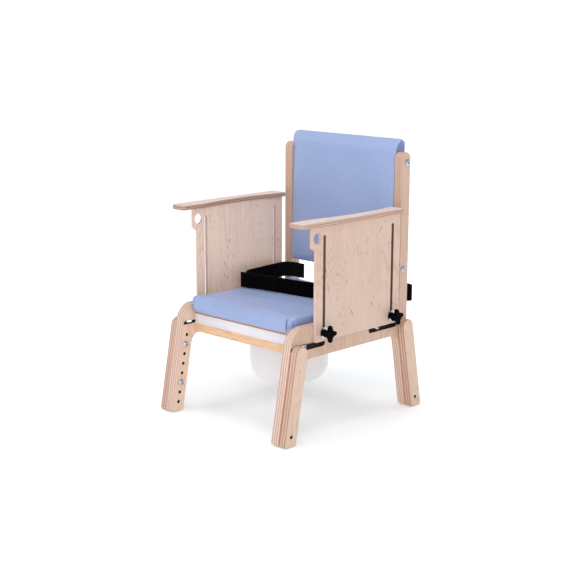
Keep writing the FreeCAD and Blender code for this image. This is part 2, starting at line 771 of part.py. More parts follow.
def leg_fasteners():
    """Bolts with their heads inside the frames, and the inserts in the adjustable legs."""
    bolts, inserts = [], []
    for side, _ in SIDES:
        for front in (True, False):
            for hole in BOLTED_HOLES:
                y, z = row_point(hole, front)
                bolts.append(bolt((inner_half * side, y, z), (-side, 0, 0), leg_bolt_length))
                inserts.append(threaded_insert((frame_outer * side, y, z), (side, 0, 0)))
    group("leg_bolts", bolts)
    group("leg_inserts", inserts)


leg_fasteners()


# ---------------------------------------------------------------- back rest
def recline_body(body):
    """Lean a body drawn about the middle of the back board backwards into place."""
    body.Placement = FreeCAD.Placement(
        vector(0, back_position, back_height),
        FreeCAD.Rotation(vector(1, 0, 0), -recline.value),
    )
    body.setExpression("Placement.Base.y", back_position.text)
    body.setExpression("Placement.Base.z", back_height.text)


def backrest_board():
    body = new_body("backrest_board")
    sketch = new_sketch(body, "YZ_Plane", "Outline_back")
    corners = rectangle(-back_board_half, back_board_half, -back_down, back_up)
    polygon(sketch, corners)
    solid = pad(body, sketch, back_half * 2, "Board_back", midplane=True)
    round_corners(body, solid, 0, corners, back_ease, "Ease_back")
    for side, tag in ((1, "L"), (-1, "R")):
        sketch = new_sketch(body, "YZ_Plane", "BackInsert" + tag, mirrored(back_half, side))
        circle(sketch, ZERO, back_bolt, insert_radius, "u")
        circle(sketch, ZERO, -back_bolt, insert_radius, "d")
        depth = insert_length + back_hole_extra
        pocket(body, sketch, "BackInsertHole" + tag, depth, side < 0)
    recline_body(body)


def backrest_fasteners():
    bolts, inserts = [], []
    for side, _ in SIDES:
        for sign in (1, -1):
            y, z = back_bolt_point(sign)
            bolts.append(bolt((frame_outer * side, y, z), (side, 0, 0), back_bolt_length))
            inserts.append(threaded_insert((back_half * side, y, z), (-side, 0, 0)))
    group("backrest_bolts", bolts)
    group("backrest_inserts", inserts)


def backrest_pad():
    """Padded sleeve over the back board, open below and at the ends."""
    body = new_body("backrest_pad")
    sketch = new_sketch(body, "YZ_Plane", "Outline_pad")
    opening = back_board_half + sleeve_slack
    polygon(
        sketch,
        [
            (-pad_front, -pad_down),
            (-opening, -pad_down),
            (-opening, back_up + sleeve_slack),
            (opening, back_up + sleeve_slack),
            (opening, -pad_down),
            (pad_rear, -pad_down),
            (pad_rear, pad_up),
            (-pad_front, pad_up),
        ],
    )
    solid = pad(body, sketch, pad_half * 2, "Sleeve_pad", midplane=True)
    top_corners = [(-pad_front, pad_up), (pad_rear, pad_up)]
    round_corners(body, solid, 0, top_corners, pad_round, "Round_pad")
    recline_body(body)


backrest_board()
backrest_fasteners()
backrest_pad()


# ---------------------------------------------------------------- side panels
def panel_planes(side):
    """Lower and higher X of a side panel."""
    return (panel_inner, panel_outer) if side > 0 else (-panel_outer, -panel_inner)


def side_panel(label, side):
    body = new_body(label)
    start, end = panel_planes(side)
    points = [
        (panel_front, panel_low),
        (panel_back, panel_low),
        (panel_back, panel_up),
        (hook_front, panel_up),
        (hook_front, hook_low),
        (panel_front, hook_root),
    ]
    sketch = new_sketch(body, "YZ_Plane", "Outline_" + label, start)
    polygon(sketch, points)
    solid = pad(body, sketch, panel_thick, "Board_" + label)
    solid = round_corners(body, solid, 0, [points[4]], hook_round, "Hook_" + label)
    solid = round_corners(body, solid, 0, points[:2], panel_low_round, "Low_" + label)
    # the top edge stays square to fit the armrest groove
    round_outline(
        body, solid, 0, (start, end), panel_ease, "Ease_" + label,
        keep=lambda edge: edge.BoundBox.ZMin < panel_up.value - 1,
    )

    face = mirrored(panel_outer, side)
    flip = side < 0
    sketch = new_sketch(body, "YZ_Plane", "RiseSlots_" + label, face)
    for y, tag in ((knob_front, "a"), (knob_rear, "b")):
        obround(sketch, (y, knob_height), (y, rise_top), rise_half, tag)
    pocket(body, sketch, "RiseSlots2_" + label, flip=flip)
    sketch = new_sketch(body, "YZ_Plane", "BarHole_" + label, face)
    circle(sketch, bar_position, bar_height, bar_radius, "bar")
    circle(sketch, hang_position, hang_height, hang_radius, "hang")
    pocket(body, sketch, "BarHole2_" + label, flip=flip)


for side, side_name in SIDES:
    side_panel("side_panel_" + side_name, side)


# ---------------------------------------------------------------- armrests
def arc_through(sketch, start, middle, end):
    """Counter-clockwise arc through three points, whichever way they were given."""
    start_x, start_y = float(start[0]), float(start[1])
    middle_x, middle_y = float(middle[0]), float(middle[1])
    end_x, end_y = float(end[0]), float(end[1])
    turn = 2 * (
        start_x * (middle_y - end_y)
        + middle_x * (end_y - start_y)
        + end_x * (start_y - middle_y)
    )
    start_sq = start_x**2 + start_y**2
    middle_sq = middle_x**2 + middle_y**2
    end_sq = end_x**2 + end_y**2
    centre_x = (
        start_sq * (middle_y - end_y)
        + middle_sq * (end_y - start_y)
        + end_sq * (start_y - middle_y)
    ) / turn
    centre_y = (
        start_sq * (end_x - middle_x)
        + middle_sq * (start_x - end_x)
        + end_sq * (middle_x - start_x)
    ) / turn
    radius = math.hypot(start_x - centre_x, start_y - centre_y)
    first = math.atan2(start_y - centre_y, start_x - centre_x)
    last = math.atan2(end_y - centre_y, end_x - centre_x)
    if turn < 0:  # the points turn clockwise
        first, last = last, first
    if last < first:
        last += 2 * math.pi
    return sketch.addGeometry(arc(vector(centre_x, centre_y), radius, first, last))


def armrest(label, side):
    body = new_body(label)
    inner_x, outer_x = mirrored(arm_inner, side), mirrored(arm_outer, side)
    front_in = (inner_x, arm_front)
    neck = (inner_x, arm_neck)
    waist = (mirrored(arm_waist, side), arm_waist_at)
    back_in = (inner_x, arm_back)
    back_out = (outer_x, arm_back)
    belly = (mirrored(arm_belly, side), arm_waist_at)
    front_out = (outer_x, arm_front)

    sketch = new_sketch(body, "XY_Plane", "Outline_" + label, arm_low)
    neck_line = line(sketch, front_in, neck)
    waist_arc = arc_through(sketch, neck, waist, back_in)
    back_line = line(sketch, back_in, back_out)
    belly_arc = arc_through(sketch, back_out, belly, front_out)
    front_line = line(sketch, front_out, front_in)

    # an arc runs counter-clockwise, so which of its ends is which depends on the side
    def end_at(geometry, point):
        start = sketch.Geometry[geometry].StartPoint
        distance = abs(start.x - point[0].value) + abs(start.y - point[1].value)
        return 1 if distance < 1e-4 else 2

    for joint in (
        (neck_line, 2, waist_arc, end_at(waist_arc, neck)),
        (waist_arc, end_at(waist_arc, back_in), back_line, 1),
        (back_line, 2, belly_arc, end_at(belly_arc, back_out)),
        (belly_arc, end_at(belly_arc, front_out), front_line, 1),
        (front_line, 2, neck_line, 1),
    ):
        sketch.addConstraint(Sketcher.Constraint("Coincident", *joint))
    for geometry, position, point, tag in (
        (neck_line, 1, front_in, "a"),
        (neck_line, 2, neck, "b"),
        (back_line, 1, back_in, "c"),
        (back_line, 2, back_out, "d"),
        (front_line, 1, front_out, "e"),
    ):
        datum_point(sketch, geometry, position, point, tag)
    for geometry, tag in ((waist_arc, "r1"), (belly_arc, "r2")):
        radius = sketch.Geometry[geometry].Radius
        index = sketch.addConstraint(Sketcher.Constraint("Radius", geometry, radius))
        sketch.renameConstraint(index, tag)
    solid = pad(body, sketch, arm_thick, "Board_" + label)

    for name, corner, radius in (
        ("FrontIn_", front_in, arm_front_in_round),
        ("FrontOut_", front_out, arm_front_out_round),
        ("BackIn_", back_in, arm_back_in_round),
        ("BackOut_", back_out, arm_back_out_round),
        ("Neck_", neck, arm_neck_round),
    ):
        solid = round_corners(body, solid, 2, [corner], radius, name + label)
    levels = (arm_low, arm_low + arm_thick)
    round_outline(body, solid, 2, levels, arm_round, "Ease_" + label)

    # groove in the underside that holds the panel's top edge
    sketch = new_sketch(body, "XY_Plane", "Groove_" + label, arm_low)
    polygon(sketch, rectangle(*panel_planes(side), hook_front, arm_back))
    pocket(body, sketch, "GrooveCut_" + label, groove_deep, True)


for side, side_name in SIDES:
    armrest("armrest_" + side_name, side)


# ---------------------------------------------------------------- seat frame
FRONT_DOWELS = (dowel_low, dowel_high)
REAR_DOWELS = (dowel_low_rear, dowel_high_rear)


def dowel_holes(body, sketch_name, cut_name, face_y, sides, heights, forwards):
    """Dowel holes cut forwards or rearwards from the face at face_y."""
    sketch = new_sketch(body, "XZ_Plane", sketch_name, -face_y)
    for side in sides:
        for height, tag in zip(heights, "ab"):
            side_tag = "l" if side > 0 else "r"
            circle(sketch, bearer_middle * side, height, dowel_radius, side_tag + tag)
    pocket(body, sketch, cut_name, dowel_length / 2, forwards)


def seat_front_rail():
    body = new_body("seat_front_rail")
    sketch = new_sketch(body, "YZ_Plane", "Outline_front_rail")
    polygon(
        sketch,
        [
            (seat_front, seat_low),
            (front_joint, seat_low),
            (front_joint, deck_low),
            (seat_front + skirt_back, deck_low),
            (seat_front + skirt_back, front_rail_top),
            (seat_front, front_rail_top),
        ],
    )
    solid = pad(body, sketch, seat_half * 2, "Rail_front", midplane=True)
    corners = [(seat_front, seat_low), (seat_front, front_rail_top)]
    round_corners(body, solid, 0, corners, seat_ease, "Ease_front_rail")
    dowel_holes(
        body, "Dowels_front_rail", "DowelHoles_front_rail",
        front_joint, (1, -1), FRONT_DOWELS, True,
    )
    # bores for the seat screws in the rail's ends
    for side, tag in ((1, "L"), (-1, "R")):
        sketch = new_sketch(body, "YZ_Plane", "EndBore" + tag, mirrored(seat_half, side))
        circle(sketch, slot_bolt_front, slot_height, screw_bore, "e")
        pocket(body, sketch, "EndBoreCut" + tag, screw_deep, side < 0)


def seat_rear_rail():
    body = new_body("seat_rear_rail")
    sketch = new_sketch(body, "YZ_Plane", "Outline_rear_rail")
    polygon(sketch, rectangle(rear_joint, seat_back, seat_low, deck_low))
    solid = pad(body, sketch, seat_half * 2, "Rail_rear", midplane=True)
    round_corners(body, solid, 0, [(seat_back, seat_low)], seat_ease, "Ease_rear_rail")
    dowel_holes(
        body, "Dowels_rear_rail", "DowelHoles_rear_rail",
        rear_joint, (1, -1), REAR_DOWELS, False,
    )


def seat_bearer(label, side):
    """Fore-and-aft timber between the front and rear rails."""
    body = new_body(label)
    start = low_x_face(seat_half - rail_thick, rail_thick, side)
    sketch = new_sketch(body, "YZ_Plane", "Outline_" + label, start)
    polygon(sketch, rectangle(front_joint, rear_joint, seat_low, deck_low))
    pad(body, sketch, rail_thick, "Bearer_" + label)
    for end_tag, face_y, heights, forwards in (
        ("F_", front_joint, FRONT_DOWELS, False),
        ("R_", rear_joint, REAR_DOWELS, True),
    ):
        dowel_holes(
            body, "Dowels" + end_tag + label, "DowelHoles" + end_tag + label,
            face_y, (side,), heights, forwards,
        )
    # the bore runs right through the bearer
    sketch = new_sketch(body, "YZ_Plane", "Bore_" + label, mirrored(seat_half, side))
    circle(sketch, slot_bolt_rear, slot_height, screw_bore, "r")
    pocket(body, sketch, "BoreCut_" + label, flip=side < 0)
    sketch = new_sketch(body, "XY_Plane", "Pilots_" + label, deck_low)
    for i, y in enumerate(carrier_screw_rows):
        circle(sketch, mirrored(carrier_screw_x, side), y, pilot_radius, "s%d" % i)
    pocket(body, sketch, "PilotHoles_" + label, pilot_deep)


def seat_dowels():
    dowels = []
    for side, _ in SIDES:
        for y, heights in ((front_joint, FRONT_DOWELS), (rear_joint, REAR_DOWELS)):
            for z in heights:
                dowel = primitive(
                    "Part::Cylinder",
                    next_name("Dowel"),
                    Radius=dowel_radius,
                    Height=dowel_length,
                )
                place(dowel, (bearer_middle * side, y - dowel_length / 2, z), (0, 1, 0))
                dowels.append(dowel)
    group("seat_dowels", dowels)


def slot_bolts():
    """Seat screws through the level slots, heads in the slot recesses."""
    to_timber = board - slot_deep + (inner_half - seat_half) + slot_head_gap
    head_x = frame_outer - slot_deep + slot_head_gap
    screws = []
    for side, _ in SIDES:
        for y, depth in ((slot_bolt_front, screw_deep), (slot_bolt_rear, rail_thick)):
            screws.append(
                socket_screw(
                    (head_x * side, y, slot_height),
                    (side, 0, 0),
                    slot_head_radius,
                    slot_head_thick,
                    screw_shank,
                    to_timber + depth,
                )
            )
    group("slot_bolts", screws)


seat_front_rail()
seat_rear_rail()
for side, side_name in SIDES:
    seat_bearer("seat_bearer_" + side_name, side)
seat_dowels()
slot_bolts()


# ---------------------------------------------------------------- potty carrier
def carrier_screw_circles(sketch, radius):
    for i, y in enumerate(carrier_screw_rows):
        circle(sketch, carrier_screw_x, y, radius, "l%d" % i)
        circle(sketch, -carrier_screw_x, y, radius, "r%d" % i)


def potty_carrier():
    body = new_body("potty_carrier")
    sketch = new_sketch(body, "XY_Plane", "Deck", deck_low)
    corners = rectangle(-carrier_half, carrier_half, seat_front, seat_back)
    polygon(sketch, corners)
    solid = pad(body, sketch, deck_top - deck_low, "DeckPlate")
    solid = round_corners(body, solid, 2, corners, deck_corner, "DeckCorners")
    round_outline(body, solid, 2, (deck_top,), deck_ease, "DeckEase")

    # skirt hanging from the front edge, with a lip along its foot
    sketch = new_sketch(body, "YZ_Plane", "SkirtProfile")
    polygon(
        sketch,
        [
            (seat_front, deck_low + skirt_overlap),
            (seat_front, front_rail_top + lip_top),
            (seat_front - skirt_lip, front_rail_top + lip_shoulder),
            (seat_front - skirt_lip, front_rail_top + lip_bottom),
            (seat_front + skirt, front_rail_top + lip_bottom),
            (seat_front + skirt, deck_low + skirt_overlap),
        ],
    )
    pad(body, sketch, carrier_half * 2, "Skirt", midplane=True)

    sketch = new_sketch(body, "XY_Plane", "Collar", collar_low)
    circle(sketch, ZERO, well_centre, collar_radius, "c")
    pad(body, sketch, deck_low - collar_low + collar_overlap, "CollarRing")
    sketch = new_sketch(body, "XY_Plane", "Recess", deck_top)
    circle(sketch, ZERO, well_centre, rest_radius, "c")
    pocket(body, sketch, "RimRecess", deck_top - deck_low)
    sketch = new_sketch(body, "XY_Plane", "Well", deck_top)
    circle(sketch, ZERO, well_centre, well_radius, "c")
    pocket(body, sketch, "WellHole")
    sketch = new_sketch(body, "XY_Plane", "ScrewHoles", deck_top)
    carrier_screw_circles(sketch, carrier_hole)
    pocket(body, sketch, "ScrewHoles2")


def carrier_screw(x, y):
    """Flat-headed screw with a cross slot, its head standing on the deck."""
    name = next_name("Flat")
    shank = primitive(
        "Part::Cylinder", name + "_a", Radius=pilot_radius, Height=carrier_shank
    )
    shank.Placement.Base.z = -carrier_shank.value
    head = primitive(
        "Part::Cylinder", name + "_b", Radius=carrier_screw_head, Height=carrier_head_thick
    )
    slots = []
    for tag, length, width in (
        ("_k", cross_length, cross_width),
        ("_l", cross_width, cross_length),
    ):
        slot = primitive(
            "Part::Box", name + tag, Length=length, Width=width, Height=cross_height
        )
        slot.Placement.Base = vector(-length / 2, -width / 2, cross_floor)
        slots.append(slot)
    screw = cut(name, fuse(name + "_w", [shank, head]), fuse(name + "_x", slots))
    screw.Placement = FreeCAD.Placement(vector(x, y, deck_top), FreeCAD.Rotation())
    return screw


potty_carrier()
group(
    "carrier_screws",
    [carrier_screw(carrier_screw_x * side, y) for side, _ in SIDES for y in carrier_screw_rows],
)


# ---------------------------------------------------------------- potty
def round_rings(body, base, rings, radius, name):
    """Fillet the circular edges of the given (radius, height)."""

    def test(edge):
        return hasattr(edge.Curve, "Radius") and any(
            abs(edge.Curve.Radius - ring.value) < 0.02
            and abs(edge.BoundBox.ZMin - z.value) < 0.02
            for ring, z in rings
        )

    return fillet(body, base, edges_where(base.Shape, test), radius, name)


def potty_bowl():
    body = new_body("potty_bowl")
    sketch = new_sketch(body, "XZ_Plane", "Profile_bowl")
    inner_top = pot_top_radius - pot_wall
    inner_low = pot_low_radius - pot_wall
    floor = pot_low + pot_wall
    polygon(
        sketch,
        [
            (ZERO, pot_low),
            (pot_low_radius, pot_low),
            (pot_top_radius, rim_low),
            (rim_radius, rim_low),
            (rim_radius, rim_high),
            (inner_top, rim_high),
            (inner_low, floor),
            (ZERO, floor),
        ],
    )
    solid = body.newObject("PartDesign::Revolution", "Turned_bowl")
    solid.Profile = sketch
    solid.ReferenceAxis = (sketch, ["V_Axis"])
    solid.Angle = 360.0
    doc.recompute()
    solid = round_rings(body, solid, [(pot_low_radius, pot_low)], pot_round, "BaseCurve")
    inner_round = pot_round - pot_wall
    solid = round_rings(body, solid, [(inner_low, floor)], inner_round, "BaseCurveIn")
    rim_rings = [(rim_radius, rim_low), (rim_radius, rim_high), (inner_top, rim_high)]
    round_rings(body, solid, rim_rings, rim_ease, "RimEase")
    body.Placement = FreeCAD.Placement(vector(0, well_centre), FreeCAD.Rotation())
    body.setExpression("Placement.Base.y", well_centre.text)


potty_bowl()


# ---------------------------------------------------------------- cushion
def cushion_base():
    body = new_body("cushion_base")
    sketch = new_sketch(body, "XY_Plane", "Outline_base", deck_top)
    half = cushion_half - base_side_inset
    front, back = cushion_front + base_front_inset, cushion_back - base_back_inset
    polygon(sketch, rectangle(-half, half, front, back))
    pad(body, sketch, base_thick, "Board_base")
    # relief over the carrier screws
    sketch = new_sketch(body, "XY_Plane", "Relief_base", deck_top)
    carrier_screw_circles(sketch, carrier_screw_head + relief_margin)
    pocket(body, sketch, "ScrewRelief", relief_deep, True)


def seat_cushion():
    body = new_body("seat_cushion")
    underside = deck_top + base_thick
    sketch = new_sketch(body, "XY_Plane", "Outline_cushion", underside)
    corners = rectangle(-cushion_half, cushion_half, cushion_front, cushion_back)
    polygon(sketch, corners)
    solid = pad(body, sketch, cushion_top - underside, "Foam_cushion")
    solid = round_corners(body, solid, 2, corners, cushion_round, "Corners_cushion")
    round_outline(body, solid, 2, (cushion_top,), cushion_round, "Top_cushion")


cushion_base()
seat_cushion()

# ---------------------------------------------------------------- clamping knobs
LOBES = 4
REAR_TWIST = 12.0  # rear knobs stand turned by this many degrees


def knob(label, side, y, twist):
    """Star knob drawn along +Z from its washer, then turned to point outwards."""
    body = new_body(label)
    sketch = new_sketch(body, "XY_Plane", "Hub_" + label)
    circle(sketch, ZERO, ZERO, hub_radius, "h")
    pad(body, sketch, hub_length + hub_overlap, "HubPad_" + label)
    sketch = new_sketch(body, "XY_Plane", "Lobe_" + label, hub_length)
    obround(sketch, (ZERO, ZERO), (star_radius - lobe_half, ZERO), lobe_half, "l")
    lobe = pad(body, sketch, star_thick, "LobePad_" + label)
    pattern = body.newObject("PartDesign::PolarPattern", "Lobes_" + label)
    pattern.Originals = [lobe]
    pattern.Axis = (sketch, ["N_Axis"])
    pattern.Angle = 360
    pattern.Occurrences = LOBES
    body.Tip = pattern
    doc.recompute()
    sketch = new_sketch(body, "XY_Plane", "Web_" + label, hub_length)
    circle(sketch, ZERO, ZERO, web_radius, "w")
    solid = pad(body, sketch, star_thick, "WebPad_" + label)
    outer_face = hub_length + star_thick
    round_outline(body, solid, 2, (outer_face,), star_ease, "Soft_" + label)
    sketch = new_sketch(body, "XY_Plane", "StudHole_" + label)
    circle(sketch, ZERO, ZERO, insert_bore, "s")
    pocket(body, sketch, "StudHole2_" + label, stud_deep, True)
    spin = FreeCAD.Rotation(vector(0, 0, 1), twist * side)
    body.Placement = FreeCAD.Placement(
        vector((panel_outer + washer_thick) * side, y, knob_height),
        turn_to((side, 0, 0)).multiply(spin),
    )


def knob_stud(place_name, knob_label, side, y):
    length = stud_deep + washer_thick + panel_thick + panel_gap + stud_in
    stud = primitive(
        "Part::Cylinder", "Stud_" + knob_label, Radius=bolt_radius, Height=length
    )
    stud.Label = "stud_" + place_name
    place(stud, ((frame_outer - stud_in) * side, y, knob_height), (side, 0, 0))
    nodes.append(stud)


def clamping_knobs():
    inserts, washers = [], []
    for side, side_name in SIDES:
        for y, end_name, twist in (
            (knob_front, "front", 0.0),
            (knob_rear, "rear", REAR_TWIST),
        ):
            place_name = end_name + "_" + side_name
            label = "knob_" + place_name
            knob(label, side, y, twist)
            knob_stud(place_name, label, side, y)
            inserts.append(
                threaded_insert((frame_outer * side, y, knob_height), (-side, 0, 0))
            )
            washers.append(
                sleeve(
                    (panel_outer * side, y, knob_height),
                    (side, 0, 0),
                    washer_radius,
                    insert_bore,
                    washer_thick,
                )
            )
    group("knob_inserts", inserts)
    group("knob_washers", washers)


clamping_knobs()

# ---------------------------------------------------------------- lap belt
# Stations along the lower edge of the webbing, from the screwed end round the upright.
# Columns: distance from the centre plane, distance behind the screwed end's middle, height.
BELT_WRAP = (
    (137.0, 0.0, 208.5), (142.0, 0.0, 208.4), (145.4, 0.0, 208.3), (147.4, 0.0, 208.2),
    (151.6, 3.6, 207.9), (152.0, 10.5, 207.7), (146.5, 16.0, 207.8), (138.5, 16.2, 208.1),
    (132.6, 11.5, 208.8), (130.4, 3.0, 211.5),
)
# Onwards over the cushion. Columns: x, y, z.
BELT_LEFT_RUN = (
    (130.0, 144.0, 217.0), (130.0, 114.5, 222.4), (129.4, 84.0, 222.6),
    (126.0, 58.0, 221.6), (113.0, 36.0, 220.9), (88.0, 23.5, 220.5),
    (40.0, 14.4, 220.4), (-20.0, 4.4, 220.4), (-80.0, -5.6, 220.4),
    (-124.5, -14.7, 220.4),
)
BELT_RIGHT_RUN = (
    (-130.0, 144.0, 217.0), (-130.0, 114.5, 222.4), (-130.0, 94.0, 222.8),
    (-130.0, 60.0, 221.8), (-129.6, 28.0, 220.9), (-127.4, 8.0, 220.6),
    (-119.0, -4.5, 220.4), (-104.0, -6.6, 220.4), (-80.0, -2.9, 220.4),
    (-40.0, 3.8, 220.4),
)
SPLINE_STEPS = 4  # loft sections per station
HOLE_CUTTER_LENGTH = 8.0
HOLE_CUTTER_START = 4.0  # the cutter starts this far in front of the upright's rear edge


def smooth(points):
    """Catmull-Rom points through the stations."""
    result = []
    last = len(points) - 1
    for i in range(last):
        before, start = points[max(i - 1, 0)], points[i]
        end, after = points[i + 1], points[min(i + 2, last)]
        for k in range(SPLINE_STEPS):
            share = k / SPLINE_STEPS
            result.append(
                tuple(
                    0.5
                    * (
                        2 * p1
                        + (p2 - p0) * share
                        + (2 * p0 - 5 * p1 + 4 * p2 - p3) * share * share
                        + (3 * p1 - p0 - 3 * p2 + p3) * share**3
                    )
                    for p0, p1, p2, p3 in zip(before, start, end, after)
                )
            )
    result.append(tuple(points[-1]))
    return result


def belt(label, side, run):
    """Upright webbing lofted through its stations, with a hole for the belt screw."""
    wrap_y = (upright_back + belt_thick / 2 + belt_gap).value
    wrap = [(x * side, wrap_y + behind, z) for x, behind, z in BELT_WRAP]
    path = smooth(wrap + list(run))
    wires = []
    for i, (x, y, z) in enumerate(path):
        before, after = path[max(i - 1, 0)], path[min(i + 1, len(path) - 1)]
        along = FreeCAD.Vector(after[0] - before[0], after[1] - before[1], 0)
        half = belt_thick.value / 2
        across = FreeCAD.Vector(-along.y / along.Length * half, along.x / along.Length * half, 0)
        low = FreeCAD.Vector(x, y, z)
        high = FreeCAD.Vector(x, y, z + belt_high.value)
        wires.append(
            Part.makePolygon(
                [low + across, low - across, high - across, high + across, low + across]
            )
        )
    solid = Part.makeLoft(wires, True, True)
    # the loft may come back as a shell, or inside out
    if solid.ShapeType != "Solid":
        solid = Part.Solid(solid)
    if solid.Volume < 0:
        solid.reverse()
    hole = Part.makeCylinder(
        belt_hole.value,
        HOLE_CUTTER_LENGTH,
        vector(belt_screw_x * side, upright_back - HOLE_CUTTER_START, belt_screw_z),
        vector(0, 1, 0),
    )
    feature = doc.addObject("Part::Feature", label)
    feature.Shape = solid.cut(hole)
    feature.Label = label
    nodes.append(feature)


def belt_fasteners():
    """Screw and washer behind the screwed end of each belt."""
    face = upright_back + belt_thick + belt_gap + cup_gap
    screws, washers = [], []
    for side, _ in SIDES:
        x = belt_screw_x * side
        washers.append(
            sleeve((x, face, belt_screw_z), (0, 1, 0), cup_radius, cup_bore, cup_thick)
        )
        screws.append(
            socket_screw(
                (x, face + cup_thick, belt_screw_z),
                (0, 1, 0),
                belt_head,
                belt_head_thick,
                belt_shank,
                belt_shank_length,
            )
        )
    group("belt_screws", screws)
    group("belt_washers", washers)


belt("lap_belt_left", 1, BELT_LEFT_RUN)
belt("lap_belt_right", -1, BELT_RIGHT_RUN)
belt_fasteners()

# ---------------------------------------------------------------- checks and export
doc.recompute()
bad = [item.Name for item in doc.Objects if "Invalid" in item.State or "Error" in item.State]
if bad:
    raise RuntimeError("objects in error: " + ", ".join(bad))
for node in nodes:
    if node.Shape.isNull() or not node.Shape.isValid():
        raise RuntimeError("bad shape: " + node.Label)
if len({node.Label for node in nodes}) != len(nodes):
    raise RuntimeError("two nodes share a name")
for node in nodes:
    node.Shape.exportStep("parts/" + node.Label + ".step")
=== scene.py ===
# Plywood potty chair: two side frames with legs, panels and armrests, a blue vinyl seat
# cushion and back pad, a white potty, four clamping knobs and a black lap belt.
# It stands on z = 0 facing -Y, with its left side at +X. Meshes and shaders are in metres;
# shapes are worked out in millimetres unless a comment says otherwise.
import math

import bmesh
import bpy
import numpy as np
from mathutils import Matrix, Vector, noise
from mathutils.bvhtree import BVHTree


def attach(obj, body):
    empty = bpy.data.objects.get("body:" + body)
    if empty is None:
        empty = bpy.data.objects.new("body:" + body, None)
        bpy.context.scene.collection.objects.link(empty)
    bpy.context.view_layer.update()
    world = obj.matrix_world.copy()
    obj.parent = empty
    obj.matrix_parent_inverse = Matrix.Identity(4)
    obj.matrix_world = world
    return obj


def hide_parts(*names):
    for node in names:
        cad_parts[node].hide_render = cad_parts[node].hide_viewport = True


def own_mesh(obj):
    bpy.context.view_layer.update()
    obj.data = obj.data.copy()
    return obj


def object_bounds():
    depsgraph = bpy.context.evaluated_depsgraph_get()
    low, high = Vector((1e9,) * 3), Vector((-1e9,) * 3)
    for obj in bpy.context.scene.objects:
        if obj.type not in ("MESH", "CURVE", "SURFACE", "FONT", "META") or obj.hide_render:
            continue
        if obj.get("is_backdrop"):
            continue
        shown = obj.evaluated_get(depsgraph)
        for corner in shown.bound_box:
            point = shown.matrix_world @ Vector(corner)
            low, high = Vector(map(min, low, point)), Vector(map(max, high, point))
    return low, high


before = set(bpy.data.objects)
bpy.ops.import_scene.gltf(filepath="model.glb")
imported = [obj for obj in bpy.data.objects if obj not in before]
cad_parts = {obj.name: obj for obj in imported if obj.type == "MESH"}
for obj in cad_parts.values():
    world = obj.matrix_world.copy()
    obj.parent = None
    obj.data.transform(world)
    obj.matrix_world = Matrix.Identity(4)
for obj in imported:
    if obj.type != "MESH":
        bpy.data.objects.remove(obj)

BOUNDS_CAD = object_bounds()
scene = bpy.context.scene

MM = 1000.0                 # millimetres in a metre
FRAME_IN = 133.0            # inner and outer faces of the side frames, from the middle
FRAME_OUT = 151.0
KNOB_Y = {"front": -81.8, "rear": 104.9}
BELT_WIDTH = 30.0
BELT_THICK = 1.8


# ---------------------------------------------------------------- shader building
class Value:
    """A float socket that takes arithmetic; each operation adds one node."""

    def __init__(self, shader, socket):
        self.shader = shader
        self.socket = socket

    def __add__(self, other):
        return self.shader.math("ADD", self, other)

    def __radd__(self, other):
        return self.shader.math("ADD", other, self)

    def __sub__(self, other):
        return self.shader.math("SUBTRACT", self, other)

    def __rsub__(self, other):
        return self.shader.math("SUBTRACT", other, self)

    def __mul__(self, other):
        return self.shader.math("MULTIPLY", self, other)

    def __truediv__(self, other):
        return self.shader.math("DIVIDE", self, other)

    def __abs__(self):
        return self.shader.math("ABSOLUTE", self)

    def fract(self):
        return self.shader.math("FRACT", self)

    def pingpong(self):
        """Triangle wave between 0 and 1."""
        return self.shader.math("PINGPONG", self, 1.0)

    def rise(self, low, high):
        """Smooth step from 0 at low to 1 at high."""
        node = self.shader.node("ShaderNodeMapRange",
                                {"Value": self, "From Min": low, "From Max": high},
                                interpolation_type="SMOOTHSTEP")
        return Value(self.shader, node.outputs[0])

    def fall(self, low, high):
        """Smooth step from 1 at low to 0 at high."""
        return 1.0 - self.rise(low, high)


